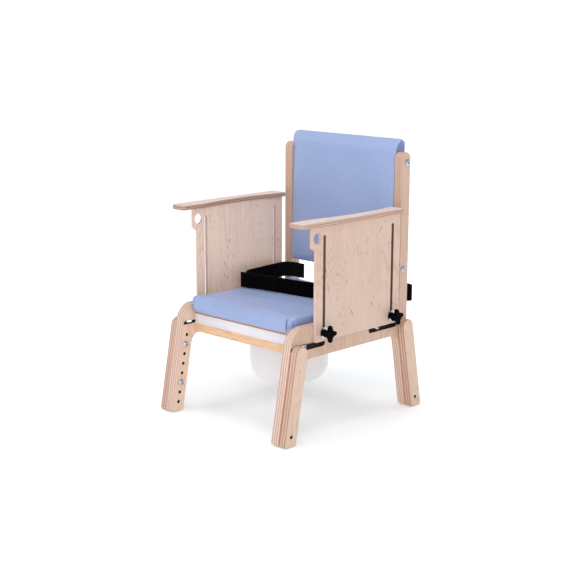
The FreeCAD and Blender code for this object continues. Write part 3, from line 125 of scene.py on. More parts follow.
class Shader:
    """A material under construction, with short calls that add its nodes."""

    def __init__(self, name):
        self.material = bpy.data.materials.new(name)
        self.material.use_nodes = True
        self.tree = self.material.node_tree
        self.principled = next(n for n in self.tree.nodes if n.type == "BSDF_PRINCIPLED")

    def set(self, socket, value):
        """Link a socket or Value, or store a constant; None leaves the input alone."""
        if isinstance(value, Value):
            value = value.socket
        if isinstance(value, bpy.types.NodeSocket):
            self.tree.links.new(value, socket)
        elif value is not None:
            socket.default_value = value

    def node(self, kind, inputs=None, **settings):
        node = self.tree.nodes.new(kind)
        for key, value in settings.items():
            setattr(node, key, value)
        for key, value in (inputs or {}).items():
            self.set(node.inputs[key], value)
        return node

    def math(self, operation, *values, clamp=False):
        node = self.node("ShaderNodeMath", dict(enumerate(values)),
                         operation=operation, use_clamp=clamp)
        return Value(self, node.outputs[0])

    def either(self, a, b):
        """Sum of two masks, clamped to 1."""
        return self.math("ADD", a, b, clamp=True)

    def coords(self, output="Object"):
        return self.node("ShaderNodeTexCoord").outputs[output]

    def scaled(self, vector, factors):
        return self.node("ShaderNodeVectorMath", {0: vector, 1: factors},
                         operation="MULTIPLY").outputs[0]

    def shifted(self, vector, offset):
        return self.node("ShaderNodeVectorMath", {0: vector, 1: offset},
                         operation="ADD").outputs[0]

    def rotated(self, vector, euler):
        return self.node("ShaderNodeVectorRotate", {"Vector": vector, "Rotation": euler},
                         rotation_type="EULER_XYZ").outputs[0]

    def split(self, vector):
        node = self.node("ShaderNodeSeparateXYZ", {0: vector})
        return [Value(self, socket) for socket in node.outputs]

    def noise(self, vector, scale=1.0, detail=4.0, roughness=0.5, distortion=0.0):
        node = self.node("ShaderNodeTexNoise", {
            "Vector": vector, "Scale": scale, "Detail": detail,
            "Roughness": roughness, "Distortion": distortion})
        return Value(self, node.outputs["Fac"])

    def voronoi(self, vector, scale=1.0, feature="F1"):
        """Cell distance as a Value, cell colour as a socket."""
        node = self.node("ShaderNodeTexVoronoi", {"Vector": vector, "Scale": scale},
                         feature=feature)
        return Value(self, node.outputs["Distance"]), node.outputs["Color"]

    def mix(self, factor, under, over):
        """Colour mix."""
        return self.node("ShaderNodeMix", {0: factor, 6: under, 7: over},
                         data_type="RGBA", blend_type="MIX").outputs[2]

    def lerp(self, factor, a, b):
        """Float mix."""
        node = self.node("ShaderNodeMix", {0: factor, 2: a, 3: b}, data_type="FLOAT")
        return Value(self, node.outputs[0])

    def bump(self, height, strength, distance, normal=None):
        return self.node("ShaderNodeBump", {
            "Strength": strength, "Distance": distance,
            "Height": height, "Normal": normal}).outputs[0]

    def finish(self, colour, roughness, normal=None, **inputs):
        """Wire the Principled node; extra inputs use underscores for spaces."""
        inputs = {"Base_Color": colour, "Roughness": roughness, "Normal": normal, **inputs}
        for key, value in inputs.items():
            self.set(self.principled.inputs[key.replace("_", " ")], value)
        return self.material


def srgb(red, green, blue):
    """8-bit sRGB to linear RGBA."""
    def linear(c):
        return c / 12.92 if c <= 0.04045 else ((c + 0.055) / 1.055) ** 2.4
    return (linear(red / 255), linear(green / 255), linear(blue / 255), 1.0)


def per_axis(axis, along, across):
    """Three factors: one along the named axis, the other on the two remaining axes."""
    return tuple(along if a == axis else across for a in "XYZ")


# ---------------------------------------------------------------- plywood
FLECK = srgb(126, 76, 48)
STREAK = srgb(126, 78, 50)
KNOT = srgb(124, 72, 44)
SAW_DARK = srgb(170, 120, 96)
SAW_PALE = srgb(238, 222, 210)
GRIT = srgb(166, 118, 94)
GLUE = srgb(142, 98, 76)
RED_WOOD = srgb(182, 130, 104)
BROWN_FRONT = srgb(176, 134, 104)
ARRIS = srgb(178, 132, 106)
# painted shade for the walls of bores and slots
BORE_SHADE = srgb(44, 29, 23)
SLOT_SHADE_DARK = srgb(40, 27, 22)
SLOT_SHADE_LIGHT = srgb(74, 50, 38)
PANEL_SLOT_SHADE = srgb(72, 50, 42)


class Plywood(Shader):
    """Birch plywood; axis runs across the board, grain along its face veneer. Metres."""

    def __init__(self, name, axis, grain, seed):
        super().__init__(name)
        self.axis = axis
        self.grain = grain
        self.board = self.coords()
        self.place = self.shifted(self.board, (seed, seed * 0.37, seed * 0.71))

    def grained(self, vector, along, across):
        return self.scaled(vector, per_axis(self.grain, along, across))

    def across(self, vector):
        return self.split(vector)["XYZ".index(self.axis)]

    def streaks(self, vector, channel, size, share):
        """Cells shrunk to streaks; a random channel decides which cells stay."""
        distance, colour = self.voronoi(vector)
        return distance.fall(*size) * self.split(colour)[channel].rise(*share)

    def veneer_tone(self, figure):
        """Light-to-dark factor of the veneer, with its soft bands and its fibre."""
        # rotary-cut figure: contour lines of a slow noise, pulled out along the grain
        slow = self.noise(self.grained(self.place, along=2.3, across=8.5),
                          detail=2.5, roughness=0.45, distortion=0.35)
        lines = abs((slow * 30.0).fract() - 0.5).fall(low=0.02, high=0.34)
        lines = lines * self.noise(self.place, scale=8.0, detail=2.0).rise(low=0.38, high=0.62)
        soft = self.noise(self.grained(self.place, along=7.0, across=75.0), distortion=0.3)
        fibre = self.noise(self.grained(self.place, along=34.0, across=1500.0),
                           detail=3.0, roughness=0.6, distortion=0.1)
        cloud = self.noise(self.place, scale=9.0, detail=2.0, distortion=0.2)
        tone = (lines * figure + (soft - 0.5) * 0.60
                + (fibre - 0.5) * 0.75 + (cloud - 0.5) * 0.30)
        return tone.rise(low=-0.35, high=0.85), soft, fibre

    def add_flecks(self, colour, amount):
        """Short pith flecks along the grain, then longer streaks lying askew."""
        spot = self.streaks(self.grained(self.place, along=64.0, across=300.0),
                            channel=0, size=(0.14, 0.40), share=(0.72, 0.80))
        patch = self.noise(self.place, scale=17.0, detail=2.0).rise(low=0.50, high=0.62)
        spot = spot * (patch * amount)
        colour = self.mix(spot, colour, FLECK)
        turned = self.rotated(self.place, (0.42, 0.3, 0.42))
        streak = self.streaks(self.grained(turned, along=40.0, across=240.0),
                              channel=1, size=(0.05, 0.28), share=(0.93, 0.95))
        patch = self.noise(self.place, scale=9.0, detail=1.0).rise(low=0.50, high=0.60)
        return self.mix(streak * patch * amount, colour, STREAK), spot

    def add_knot(self, colour, centre_y, centre_z, radius):
        """A knotty patch of short slanted streaks."""
        turned = self.node("ShaderNodeVectorRotate", {"Vector": self.place, "Angle": -0.42},
                           rotation_type="X_AXIS").outputs[0]
        streak = self.streaks(self.grained(turned, along=31.0, across=225.0),
                              channel=2, size=(0.08, 0.30), share=(0.70, 0.72))
        _, y, z = self.split(self.board)
        dy = y - centre_y
        dz = z - centre_z
        near = self.math("SQRT", dy * dy + dz * dz).fall(low=radius * 0.35, high=radius)
        return self.mix(streak * near * 0.90, colour, KNOT)

    def sawn_edge(self, light, dark, layer_mm, start_mm, red, brown_top):
        """Edge colour: alternating plies, glue lines and saw marks; also returns its masks."""
        depth = self.across(self.board) - start_mm / MM
        wobble = (self.noise(self.place, scale=60.0, detail=2.0) - 0.5) * 0.0006
        ply = (depth + wobble) / (layer_mm / MM)
        cross = ply.pingpong().rise(low=0.42, high=0.80)
        glue = abs((ply + 0.5).fract() - 0.5).fall(low=0.03, high=0.16)
        glue_line = self.noise(self.scaled(self.board, per_axis(self.axis, 700.0, 0.0)),
                               detail=0.0).rise(low=0.45, high=0.6)
        grit = self.noise(self.place, scale=620.0, roughness=0.7)
        skewed = self.rotated(self.place, (0.0, 0.30, 0.30))
        saw = self.noise(self.scaled(skewed, per_axis(self.axis, 260.0, 950.0)),
                         detail=3.0, roughness=0.65)
        colour = self.mix(cross, light, dark)
        saw_amount = self.lerp(cross, a=0.26, b=0.42)
        colour = self.mix(saw.rise(low=0.48, high=0.66) * saw_amount, colour, SAW_DARK)
        colour = self.mix(saw.fall(low=0.32, high=0.46) * 0.30, colour, SAW_PALE)
        colour = self.mix(grit.rise(low=0.4, high=0.75) * 0.20, colour, GRIT)
        colour = self.mix(glue * 0.40 * self.lerp(glue_line, a=0.10, b=1.0), colour, GLUE)
        patches = self.noise(self.scaled(self.place, per_axis(self.axis, 30.0, 5.0)),
                             detail=3.0, roughness=0.6).rise(low=0.42, high=0.66)
        colour = self.mix(patches * red, colour, RED_WOOD)
        if brown_top:
            # the cut edges of the uprights are a shade browner than the legs
            top = self.split(self.board)[2].rise(low=0.20, high=0.26)
            colour = self.mix(top * 0.46, colour, BROWN_FRONT)
        return colour, cross, saw, grit

    def shade_bores(self, colour, facing):
        """Painted shade on the walls of the deep bores in the leg rows; each row leans inwards
        as it rises.
        """
        _, y, z = self.split(self.board)
        lean = (z - 0.018905) * 0.18173
        gap = abs(abs(y) - 0.172883 + lean)
        bore = gap.fall(low=0.0036, high=0.0042) * facing.fall(low=0.15, high=0.45)
        span = z.rise(low=0.010, high=0.012) * z.fall(low=0.146, high=0.150)
        return self.mix(bore * span * 0.93, colour, BORE_SHADE)

    def shade_level_slots(self, colour, grit):
        """Painted near-black shade on the walls of the two level slots in a side frame."""
        x, y, z = self.split(self.board)
        width = abs(x)
        inside = width.rise(low=0.1332, high=0.1336) * width.fall(low=0.1503, high=0.1508)
        height = abs(z - 0.1699).fall(low=0.0062, high=0.0066)
        length = self.either(abs(y + 0.11565).fall(low=0.0446, high=0.0450),
                             abs(y - 0.0892).fall(low=0.0411, high=0.0415))
        # the front edge of the frame gets none of this painted shade
        forward = self.split(self.coords("Normal"))[1] * -1.0
        nose = forward.rise(low=0.2, high=0.5) * y.fall(low=-0.1500, high=-0.1490)
        length = length * (1.0 - nose)
        return self.mix(inside * height * length, colour,
                        self.mix(grit, SLOT_SHADE_DARK, SLOT_SHADE_LIGHT))

    def shade_upright_slots(self, colour, facing, amount):
        """Painted shade on the walls of the upright slots in a side panel, in line with the
        knobs.
        """
        _, y, z = self.split(self.board)
        front, rear = (abs(y - at / MM).fall(low=0.0036, high=0.0042)
                       for at in KNOB_Y.values())
        height = z.rise(low=0.180, high=0.184) * z.fall(low=0.3668, high=0.3700)
        wall = self.either(front, rear) * height * facing.fall(low=0.3, high=0.7)
        return self.mix(wall * amount, colour, PANEL_SLOT_SHADE)


def plywood(name, face, edge, axis, grain, layer_mm, start_mm, seed, figure=0.35, fleck=0.5,
            edge_red=0.35, inner=None, inner_sign=1.0, knot=None, bores=False,
            level_slots=False, upright_slots=0.0):
    """face, edge and inner are (light, dark) pairs; inner is a paler copy of the veneer for
    the face towards inner_sign, painted light that lifts the shade inside the chair.
    """
    m = Plywood(name, axis, grain, seed)
    tone, soft, fibre = m.veneer_tone(figure)
    veneer = m.mix(tone, *face)
    if inner:
        # the inner face gets a paler copy of the veneer: painted light that lifts the shade
        # inside the chair
        turned_in = (m.across(m.coords("Normal")) * inner_sign).rise(low=0.2, high=0.6)
        veneer = m.mix(turned_in, veneer, m.mix(tone, *inner))
    veneer, spot = m.add_flecks(veneer, fleck)
    if knot:
        veneer = m.add_knot(veneer, **knot)
    edge_colour, cross, saw, grit = m.sawn_edge(*edge, layer_mm, start_mm, edge_red,
                                                brown_top=level_slots)
    facing = abs(m.across(m.coords("Normal")))
    on_face = facing.rise(low=0.72, high=0.97)
    colour = m.mix(on_face, edge_colour, veneer)
    arris = facing.rise(low=0.12, high=0.5) * facing.fall(low=0.8, high=0.99)
    colour = m.mix(arris * 0.30, colour, ARRIS)
    roughness = m.lerp(on_face, a=0.62, b=0.42) + (soft - 0.5) * 0.18
    if bores:
        colour = m.shade_bores(colour, facing)
    if level_slots:
        colour = m.shade_level_slots(colour, grit)
    if upright_slots:
        colour = m.shade_upright_slots(colour, facing, upright_slots)
    height = m.lerp(on_face, a=cross * 0.7 + saw * 0.9, b=fibre * 0.5 + spot * -0.6)
    return m.finish(colour, roughness, m.bump(height, strength=0.28, distance=0.00025),
                    Coat_Weight=0.10, Coat_Roughness=0.3, Specular_IOR_Level=0.40)


# (light, dark) pairs
FRAME_FACE = srgb(204, 173, 154), srgb(184, 149, 128)
# the inner pairs are paler copies: painted light for the faces inside the chair
FRAME_INNER_LIT = srgb(226, 196, 174), srgb(205, 170, 147)
FRAME_EDGE = srgb(228, 204, 191), srgb(190, 151, 130)
LEG_FACE = srgb(216, 189, 169), srgb(196, 165, 143)
LEG_EDGE = srgb(214, 182, 164), srgb(171, 128, 106)
PANEL_FACE = srgb(211, 184, 168), srgb(189, 157, 138)
# paler inner copy: painted light for the panel face inside the chair
PANEL_INNER_LIT = srgb(245, 219, 200), srgb(222, 190, 170)
BOARD_EDGE = srgb(230, 209, 197), srgb(205, 171, 153)
ARM_FACE = srgb(232, 212, 203), srgb(208, 182, 170)
ARM_EDGE_LEFT = srgb(205, 176, 162), srgb(136, 100, 84)
# the right edge pair is a darker copy of the left one: painted shade
ARM_EDGE_RIGHT_SHADED = srgb(194, 163, 149), srgb(120, 89, 76)
CUSHION_FACE = srgb(190, 154, 126), srgb(160, 122, 96)
CUSHION_EDGE = srgb(178, 140, 114), srgb(136, 100, 78)

ply = {}
for side, start, seed, inner_sign in (("left", FRAME_IN, 0.3, -1.0),
                                      ("right", -FRAME_OUT, 1.9, 1.0)):
    ply["frame_" + side] = plywood(
        "birch_frame_" + side, FRAME_FACE, FRAME_EDGE, axis="X", grain="Z",
        layer_mm=2.571, start_mm=start, seed=seed, edge_red=0.12,
        inner=FRAME_INNER_LIT, inner_sign=inner_sign, bores=True, level_slots=True)
for side, start, seed in (("left", FRAME_OUT - 1.2, 4.1), ("right", -166.0 - 1.2, 5.3)):
    ply["leg_" + side] = plywood(
        "birch_leg_" + side, LEG_FACE, LEG_EDGE, axis="X", grain="Z",
        layer_mm=3.0, start_mm=start, seed=seed, figure=0.4, edge_red=0.30, bores=True)
# upright_slots sets how much painted shade the slot walls get, much more on the left panel
ply["panel_left"] = plywood(
    "birch_panel_left", PANEL_FACE, BOARD_EDGE, axis="X", grain="Z",
    layer_mm=1.2, start_mm=151.1, seed=7.7, figure=0.34, fleck=1.0, upright_slots=0.92,
    inner=PANEL_INNER_LIT, inner_sign=-1.0,
    knot={"centre_y": -0.010, "centre_z": 0.238, "radius": 0.052})
ply["panel_right"] = plywood(
    "birch_panel_right", PANEL_FACE, BOARD_EDGE, axis="X", grain="Z",
    layer_mm=1.2, start_mm=-157.1, seed=9.2, figure=0.45, fleck=0.7, upright_slots=0.25,
    inner=PANEL_INNER_LIT, inner_sign=1.0)
for side, edge, seed in (("left", ARM_EDGE_LEFT, 11.4), ("right", ARM_EDGE_RIGHT_SHADED, 13.1)):
    ply["armrest_" + side] = plywood(
        "birch_armrest_" + side, ARM_FACE, edge, axis="Z", grain="Y",
        layer_mm=1.8, start_mm=384.0, seed=seed, figure=0.5, fleck=0.6, edge_red=0.25)
ply["cushion"] = plywood("cushion_board", CUSHION_FACE, CUSHION_EDGE, axis="Z", grain="X",
                         layer_mm=1.17, start_mm=186.1, seed=3.3)
ply["back"] = plywood("back_board", FRAME_FACE, BOARD_EDGE, axis="Y", grain="X",
                      layer_mm=2.14, start_mm=140.0, seed=6.1)


# ---------------------------------------------------------------- other materials
def timber(name, light, dark, grain, seed, roughness=0.42):
    """Solid lacquered timber with growth rings, end grain included."""
    m = Shader(name)
    place = m.shifted(m.coords(), (seed, seed * 0.6, -seed * 0.3))
    ring = m.noise(m.scaled(place, per_axis(grain, 0.07, 1.0)),
                   scale=95.0, detail=2.0, distortion=1.2)
    ring = (ring * 6.0).fract().rise(low=0.0, high=1.0)
    fibre = m.noise(m.scaled(place, per_axis(grain, 40.0, 1600.0)), detail=3.0, roughness=0.6)
    cloud = m.noise(place, scale=12.0, detail=3.0)
    tone = ring * 0.45 + fibre * 0.35 + (cloud - 0.5) * 0.5
    colour = m.mix(tone.rise(low=0.1, high=0.85), light, dark)
    facing = m.split(m.coords("Normal"))["XYZ".index(grain)]
    end_grain = abs(facing).rise(low=0.7, high=0.95)
    colour = m.mix(end_grain * 0.45, colour, srgb(176, 122, 76))
    normal = m.bump(fibre * 0.6 + ring * 0.4, strength=0.25, distance=0.0002)
    return m.finish(colour, roughness + (fibre - 0.5) * 0.2, normal,
                    Coat_Weight=0.15, Coat_Roughness=0.25)


def vinyl(name, light, mid):
    """Pebbled vinyl with soft creases."""
    m = Shader(name)
    place = m.coords()
    pebble, _ = m.voronoi(place, scale=1350.0, feature="SMOOTH_F1")
    fine = m.noise(place, scale=3200.0, detail=2.0)
    # one factor per axis stretches the creases; all ones leaves them even
    crease = m.noise(m.scaled(place, (1.0, 1.0, 1.0)),
                     scale=46.0, roughness=0.55, distortion=0.9)
    cloud = m.noise(place, scale=9.0, detail=3.0, distortion=0.3)
    colour = m.mix((cloud * 0.7 + crease * 0.3).rise(low=0.3, high=0.72), light, mid)
    colour = m.mix(pebble.fall(low=0.15, high=0.65) * 0.10, colour, srgb(106, 120, 172))
    grained = m.bump(pebble * 0.7 + fine * 0.3, strength=0.30, distance=0.00012)
    creased = m.bump(crease, strength=0.30, distance=0.0016, normal=grained)
    roughness = 0.40 + (crease - 0.5) * 0.22 + pebble * 0.08
    return m.finish(colour, roughness, creased, Specular_IOR_Level=0.45,
                    Coat_Weight=0.05, Coat_Roughness=0.35)


def plastic(name, base, alt, roughness, grain_scale, bump, **inputs):
    """Moulded plastic: fine grain, orange peel and faint scuffs."""
    m = Shader(name)
    place = m.coords()
    grain = m.noise(place, scale=grain_scale, detail=3.0, roughness=0.6)
    peel = m.noise(place, scale=140.0, detail=2.0)
    cloud = m.noise(place, scale=14.0, detail=3.0)
    scuff = m.noise(m.scaled(place, (60.0, 900.0, 300.0)), detail=3.0, roughness=0.6)
    return m.finish(m.mix(cloud.rise(low=0.35, high=0.7), base, alt),
                    roughness + (scuff - 0.5) * 0.16,
                    m.bump(grain * 0.6 + peel * 0.8, strength=bump, distance=0.0002),
                    **inputs)


def metal(name, base, alt, roughness):
    """Lightly brushed metal with cloudy patches."""
    m = Shader(name)
    place = m.coords()
    cloud = m.noise(place, scale=260.0, roughness=0.6)
    brush = m.noise(m.scaled(place, (900.0, 2600.0, 900.0)), detail=2.0)
    return m.finish(m.mix(cloud.rise(low=0.3, high=0.75), base, alt),
                    roughness + (cloud - 0.5) * 0.22,
                    m.bump(brush * 0.4 + cloud * 0.3, strength=0.12, distance=0.0001),
                    Metallic=1.0)


def webbing(name):
    """Woven webbing: u runs along the band and v across it, both in metres."""
    m = Shader(name)
    u, v, _ = m.split(m.coords("UV"))
    rib = (v / 0.00145).pingpong()
    twill = (u / 0.0021 + rib * 0.9).pingpong()
    weft = (u / 0.00055).pingpong()
    fuzz = m.noise(m.coords(), scale=1900.0, detail=3.0, roughness=0.6)
    height = twill * 0.7 + rib * 0.5 + fuzz * 0.4
    tone = (twill * 0.5 + fuzz * 0.5).rise(low=0.25, high=0.8)
    colour = m.mix(tone, srgb(1, 1, 2), srgb(7, 7, 9))
    selvedge = abs(v - BELT_WIDTH / 2 / MM).rise(low=0.0128, high=0.0136)
    colour = m.mix(selvedge * 0.5, colour, srgb(16, 16, 20))
    return m.finish(colour, 0.66 + twill * 0.15,
                    m.bump(height + weft * 0.25, strength=0.7, distance=0.00035),
                    Specular_IOR_Level=0.03)


def hook_pile(name):
    """Hook-and-loop face: short dense pile."""
    m = Shader(name)
    place = m.coords()
    tufts = m.noise(place, scale=1500.0, detail=3.0, roughness=0.7)
    cells, _ = m.voronoi(place, scale=900.0)
    return m.finish(m.mix(tufts.rise(low=0.3, high=0.75), srgb(3, 3, 4), srgb(16, 16, 18)),
                    0.92, m.bump(tufts + cells, strength=0.8, distance=0.0005),
                    Specular_IOR_Level=0.12)


def thread(name, dark, light, scale, roughness, specular):
    m = Shader(name)
    twist = m.noise(m.coords(), scale=scale, detail=2.0)
    return m.finish(m.mix(twist, dark, light), roughness, Specular_IOR_Level=specular)


rail_timber = timber("seat_rail_timber", srgb(226, 188, 150), srgb(210, 164, 120),
                     grain="X", seed=2.0)
bearer_timber = timber("seat_bearer_timber", srgb(224, 188, 150), srgb(206, 162, 120),
                       grain="Y", seed=5.0)
dowel_timber = timber("dowel_timber", srgb(232, 204, 168), srgb(206, 170, 132),
                      grain="Y", seed=8.0, roughness=0.6)
vinyl_top = vinyl("blue_vinyl", srgb(153, 170, 209), srgb(147, 164, 204))
# darker copies of the same vinyl: painted shade for side walls, recesses and the gap in a fold
vinyl_side_shaded = vinyl("blue_vinyl_side_shaded", srgb(138, 156, 200), srgb(126, 145, 192))
vinyl_recess_shade = vinyl("blue_vinyl_recess_shade", srgb(120, 137, 181), srgb(108, 125, 169))
vinyl_gap_shade = vinyl("blue_vinyl_gap_shade", srgb(84, 101, 146), srgb(76, 92, 136))
white_plastic = plastic(
    "white_moulding", srgb(228, 222, 228), srgb(220, 214, 222),
    roughness=0.34, grain_scale=900.0, bump=0.10, Subsurface_Weight=0.15,
    Subsurface_Radius=(0.006, 0.006, 0.006), Subsurface_Scale=1.0, Specular_IOR_Level=0.5)
# the bowl's plastic has a faint emission: a painted glow
milky_plastic = plastic(
    "milky_plastic", srgb(250, 246, 248), srgb(244, 239, 243),
    roughness=0.30, grain_scale=500.0, bump=0.06, Subsurface_Weight=0.75,
    Subsurface_Radius=(0.02, 0.02, 0.02), Subsurface_Scale=1.0,
    Emission_Color=(1.0, 0.95, 0.97, 1.0), Emission_Strength=0.08)
black_plastic = plastic(
    "black_knob", srgb(6, 5, 6), srgb(3, 3, 4),
    roughness=0.58, grain_scale=2600.0, bump=0.30, Specular_IOR_Level=0.025)
zinc = metal("zinc", srgb(196, 202, 214), srgb(168, 176, 194), roughness=0.26)
brass = metal("brass", srgb(206, 172, 104), srgb(176, 140, 76), roughness=0.32)
black_webbing = webbing("black_webbing")
black_pile = hook_pile("hook_pile")
black_thread = thread("thread", srgb(16, 16, 19), srgb(30, 30, 34),
                      scale=2400.0, roughness=0.7, specular=0.2)
blue_thread = thread("blue_thread", srgb(112, 128, 176), srgb(140, 156, 200),
                     scale=2200.0, roughness=0.6, specular=0.3)


# ---------------------------------------------------------------- dressing the CAD pieces
# material, slot, pieces
DRESSING = (
    (ply["frame_left"], "birch_frame", ("side_frame_left",)),
    (ply["frame_right"], "birch_frame", ("side_frame_right",)),
    (ply["leg_left"], "birch_leg", ("leg_front_left", "leg_rear_left")),
    (ply["leg_right"], "birch_leg", ("leg_front_right", "leg_rear_right")),
    (ply["panel_left"], "birch_panel", ("side_panel_left",)),
    (ply["panel_right"], "birch_panel", ("side_panel_right",)),
    (ply["armrest_left"], "birch_armrest", ("armrest_left",)),
    (ply["armrest_right"], "birch_armrest", ("armrest_right",)),
    (ply["back"], "back_board", ("backrest_board",)),
    (ply["cushion"], "cushion_board", ("cushion_base",)),
    (rail_timber, "seat_timber", ("seat_front_rail", "seat_rear_rail")),
    (bearer_timber, "seat_timber", ("seat_bearer_left", "seat_bearer_right")),
    (dowel_timber, "seat_timber", ("seat_dowels",)),
    (white_plastic, "white_moulding", ("potty_carrier",)),
    (milky_plastic, "milky_plastic", ("potty_bowl",)),
    (brass, "brass_insert", ("leg_inserts", "backrest_inserts", "knob_inserts")),
    (zinc, "zinc", ("leg_bolts", "backrest_bolts", "slot_bolts", "carrier_screws",
                    "knob_washers", "belt_screws", "belt_washers", "stud_front_left",
                    "stud_front_right", "stud_rear_left", "stud_rear_right")),
    (black_plastic, "black_knob", ("knob_front_left", "knob_front_right",
                                   "knob_rear_left", "knob_rear_right")),
)
SHARP_ANGLE = 32.0          # degrees
KNOB_SHARP_ANGLE = 40.0

for material, slot, pieces in DRESSING:
    for piece in pieces:
        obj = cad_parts[piece]
        obj.data.materials.clear()
        obj.data.materials.append(material)
        for face in obj.data.polygons:
            face.use_smooth = True
            face.material_index = 0
        angle = KNOB_SHARP_ANGLE if slot == "black_knob" else SHARP_ANGLE
        obj.data.set_sharp_from_angle(angle=math.radians(angle))


# ---------------------------------------------------------------- mesh helpers
def new_object(name, verts, faces, material, uvs=None):
    """Smooth-shaded object from points in metres, with an optional UV per vertex."""
    mesh = bpy.data.meshes.new(name)
    mesh.from_pydata([tuple(v) for v in verts], [], faces)
    mesh.update()
    if uvs is not None:
        layer = mesh.uv_layers.new(name="UVMap")
        for face in mesh.polygons:
            for loop in face.loop_indices:
                layer.data[loop].uv = uvs[mesh.loops[loop].vertex_index]
    for face in mesh.polygons:
        face.use_smooth = True
    mesh.materials.append(material)
    obj = bpy.data.objects.new(name, mesh)
    scene.collection.objects.link(obj)
    return obj


def ring_faces(rings, count, base=0):
    """Quads between successive closed rings of count points, with a cap on each end."""
    faces = []
    for i in range(rings - 1):
        for j in range(count):
            a = base + i * count + j
            b = base + i * count + (j + 1) % count
            faces.append((a, b, b + count, a + count))
    last = base + (rings - 1) * count
    faces.append(tuple(range(base + count - 1, base - 1, -1)))
    faces.append(tuple(range(last, last + count)))
    return faces


def recalc_normals(obj):
    bm = bmesh.new()
    bm.from_mesh(obj.data)
    bmesh.ops.recalc_face_normals(bm, faces=bm.faces)
    bm.to_mesh(obj.data)
    bm.free()


def surface_tree(obj):
    bm = bmesh.new()
    bm.from_mesh(obj.data)
    tree = BVHTree.FromBMesh(bm)
    bm.free()
    return tree


def get_points(obj):
    flat = np.empty(len(obj.data.vertices) * 3)
    obj.data.vertices.foreach_get("co", flat)
    return flat.reshape(-1, 3)


def set_points(obj, points):
    obj.data.vertices.foreach_set("co", np.asarray(points, float).ravel())
    obj.data.update()


def bell(x, width):
    """Gaussian of height 1."""
    return np.exp(-0.5 * (x / width) ** 2)


def rise(x, low, high):
    """Smooth step from 0 at low to 1 at high."""
    t = np.clip((x - low) / (high - low), 0, 1)
    return t * t * (3 - 2 * t)


def fall(x, low, high):
    """Smooth step from 1 at low to 0 at high."""
    return 1 - rise(x, low, high)


def rumple(points, scale, seed):
    """Smooth repeatable noise, one value a point; scale is in waves a metre."""
    offset = Vector((seed * 3.1, seed * 1.7, seed * 2.3))
    return np.array([noise.noise(Vector(p) * scale + offset) for p in points / MM])


def rounded_block(half_x, y0, y1, z0, z1, plan_radius, top_radius, bottom_radius, cell):
    """Closed block of quads on a grid, its corners rounded by projection. Returns metres."""
    nx = round(2 * half_x / cell)
    ny = round((y1 - y0) / cell)
    nz = round((z1 - z0) / cell)
    index, verts, faces = {}, [], []

    def vert(i, j, k):
        if (i, j, k) not in index:
            index[i, j, k] = len(verts)
            verts.append([-half_x + 2 * half_x * i / nx,
                          y0 + (y1 - y0) * j / ny,
                          z0 + (z1 - z0) * k / nz])
        return index[i, j, k]

    for i in range(nx):
        for j in range(ny):
            faces.append((vert(i, j, 0), vert(i, j + 1, 0),
                          vert(i + 1, j + 1, 0), vert(i + 1, j, 0)))
            faces.append((vert(i, j, nz), vert(i + 1, j, nz),
                          vert(i + 1, j + 1, nz), vert(i, j + 1, nz)))
    for i in range(nx):
        for k in range(nz):
            faces.append((vert(i, 0, k), vert(i + 1, 0, k),
                          vert(i + 1, 0, k + 1), vert(i, 0, k + 1)))
            faces.append((vert(i, ny, k), vert(i, ny, k + 1),
                          vert(i + 1, ny, k + 1), vert(i + 1, ny, k)))
    for j in range(ny):
        for k in range(nz):
            faces.append((vert(0, j, k), vert(0, j, k + 1),
                          vert(0, j + 1, k + 1), vert(0, j + 1, k)))
            faces.append((vert(nx, j, k), vert(nx, j + 1, k),
                          vert(nx, j + 1, k + 1), vert(nx, j, k + 1)))
    points = np.array(verts)
    x, y, z = points.T

    # plan corners: squares about each corner centre become circles
    centre_x = np.clip(x, -half_x + plan_radius, half_x - plan_radius)
    centre_y = np.clip(y, y0 + plan_radius, y1 - plan_radius)
    dx = x - centre_x
    dy = y - centre_y
    corner = (np.abs(dx) > 1e-9) & (np.abs(dy) > 1e-9)
    square = np.maximum(np.abs(dx), np.abs(dy))
    factor = np.where(corner, square / np.maximum(np.hypot(dx, dy), 1e-9), 1.0)
    x[:] = centre_x + dx * factor
    y[:] = centre_y + dy * factor

    # top and bottom edges: pull in by how near the point is to the wall in plan
    wall = np.minimum(np.minimum(x + half_x, half_x - x), np.minimum(y - y0, y1 - y))
    for radius, top in ((top_radius, True), (bottom_radius, False)):
        depth = (z1 - z) if top else (z - z0)
        w = np.clip(1 - np.maximum(wall, 0) / radius, 0, 1)
        h = np.clip(1 - depth / radius, 0, 1)
        reach = np.hypot(w, h)
        k = np.where(reach > 1e-9, np.maximum(w, h) / np.maximum(reach, 1e-9), 1.0)
        drop = (1 - k) * radius * h
        z += -drop if top else drop
        inset = (1 - k) * radius * w
        y_mid = y - (y0 + y1) / 2
        out_x = np.clip((np.abs(x) - (half_x - radius)) / radius, 0, 1) * np.sign(x)
        out_y = (np.clip((np.abs(y_mid) - ((y1 - y0) / 2 - radius)) / radius, 0, 1)
                 * np.sign(y_mid))
        length = np.hypot(out_x, out_y)
        length[length < 1e-9] = 1
        x -= inset * out_x / length
        y -= inset * out_y / length
    return points / MM, faces


PUFF_FRAMES = 20
PUFF_PRESSURE = 4.0
CLOTH_MASS = 0.35
CLOTH_TENSION = 12.0
CLOTH_BENDING = 0.4
SHRINK_CAP = 0.0003         # metres a point may move inwards
SLIDE_CAP = 0.0012          # metres a point may move along the surface


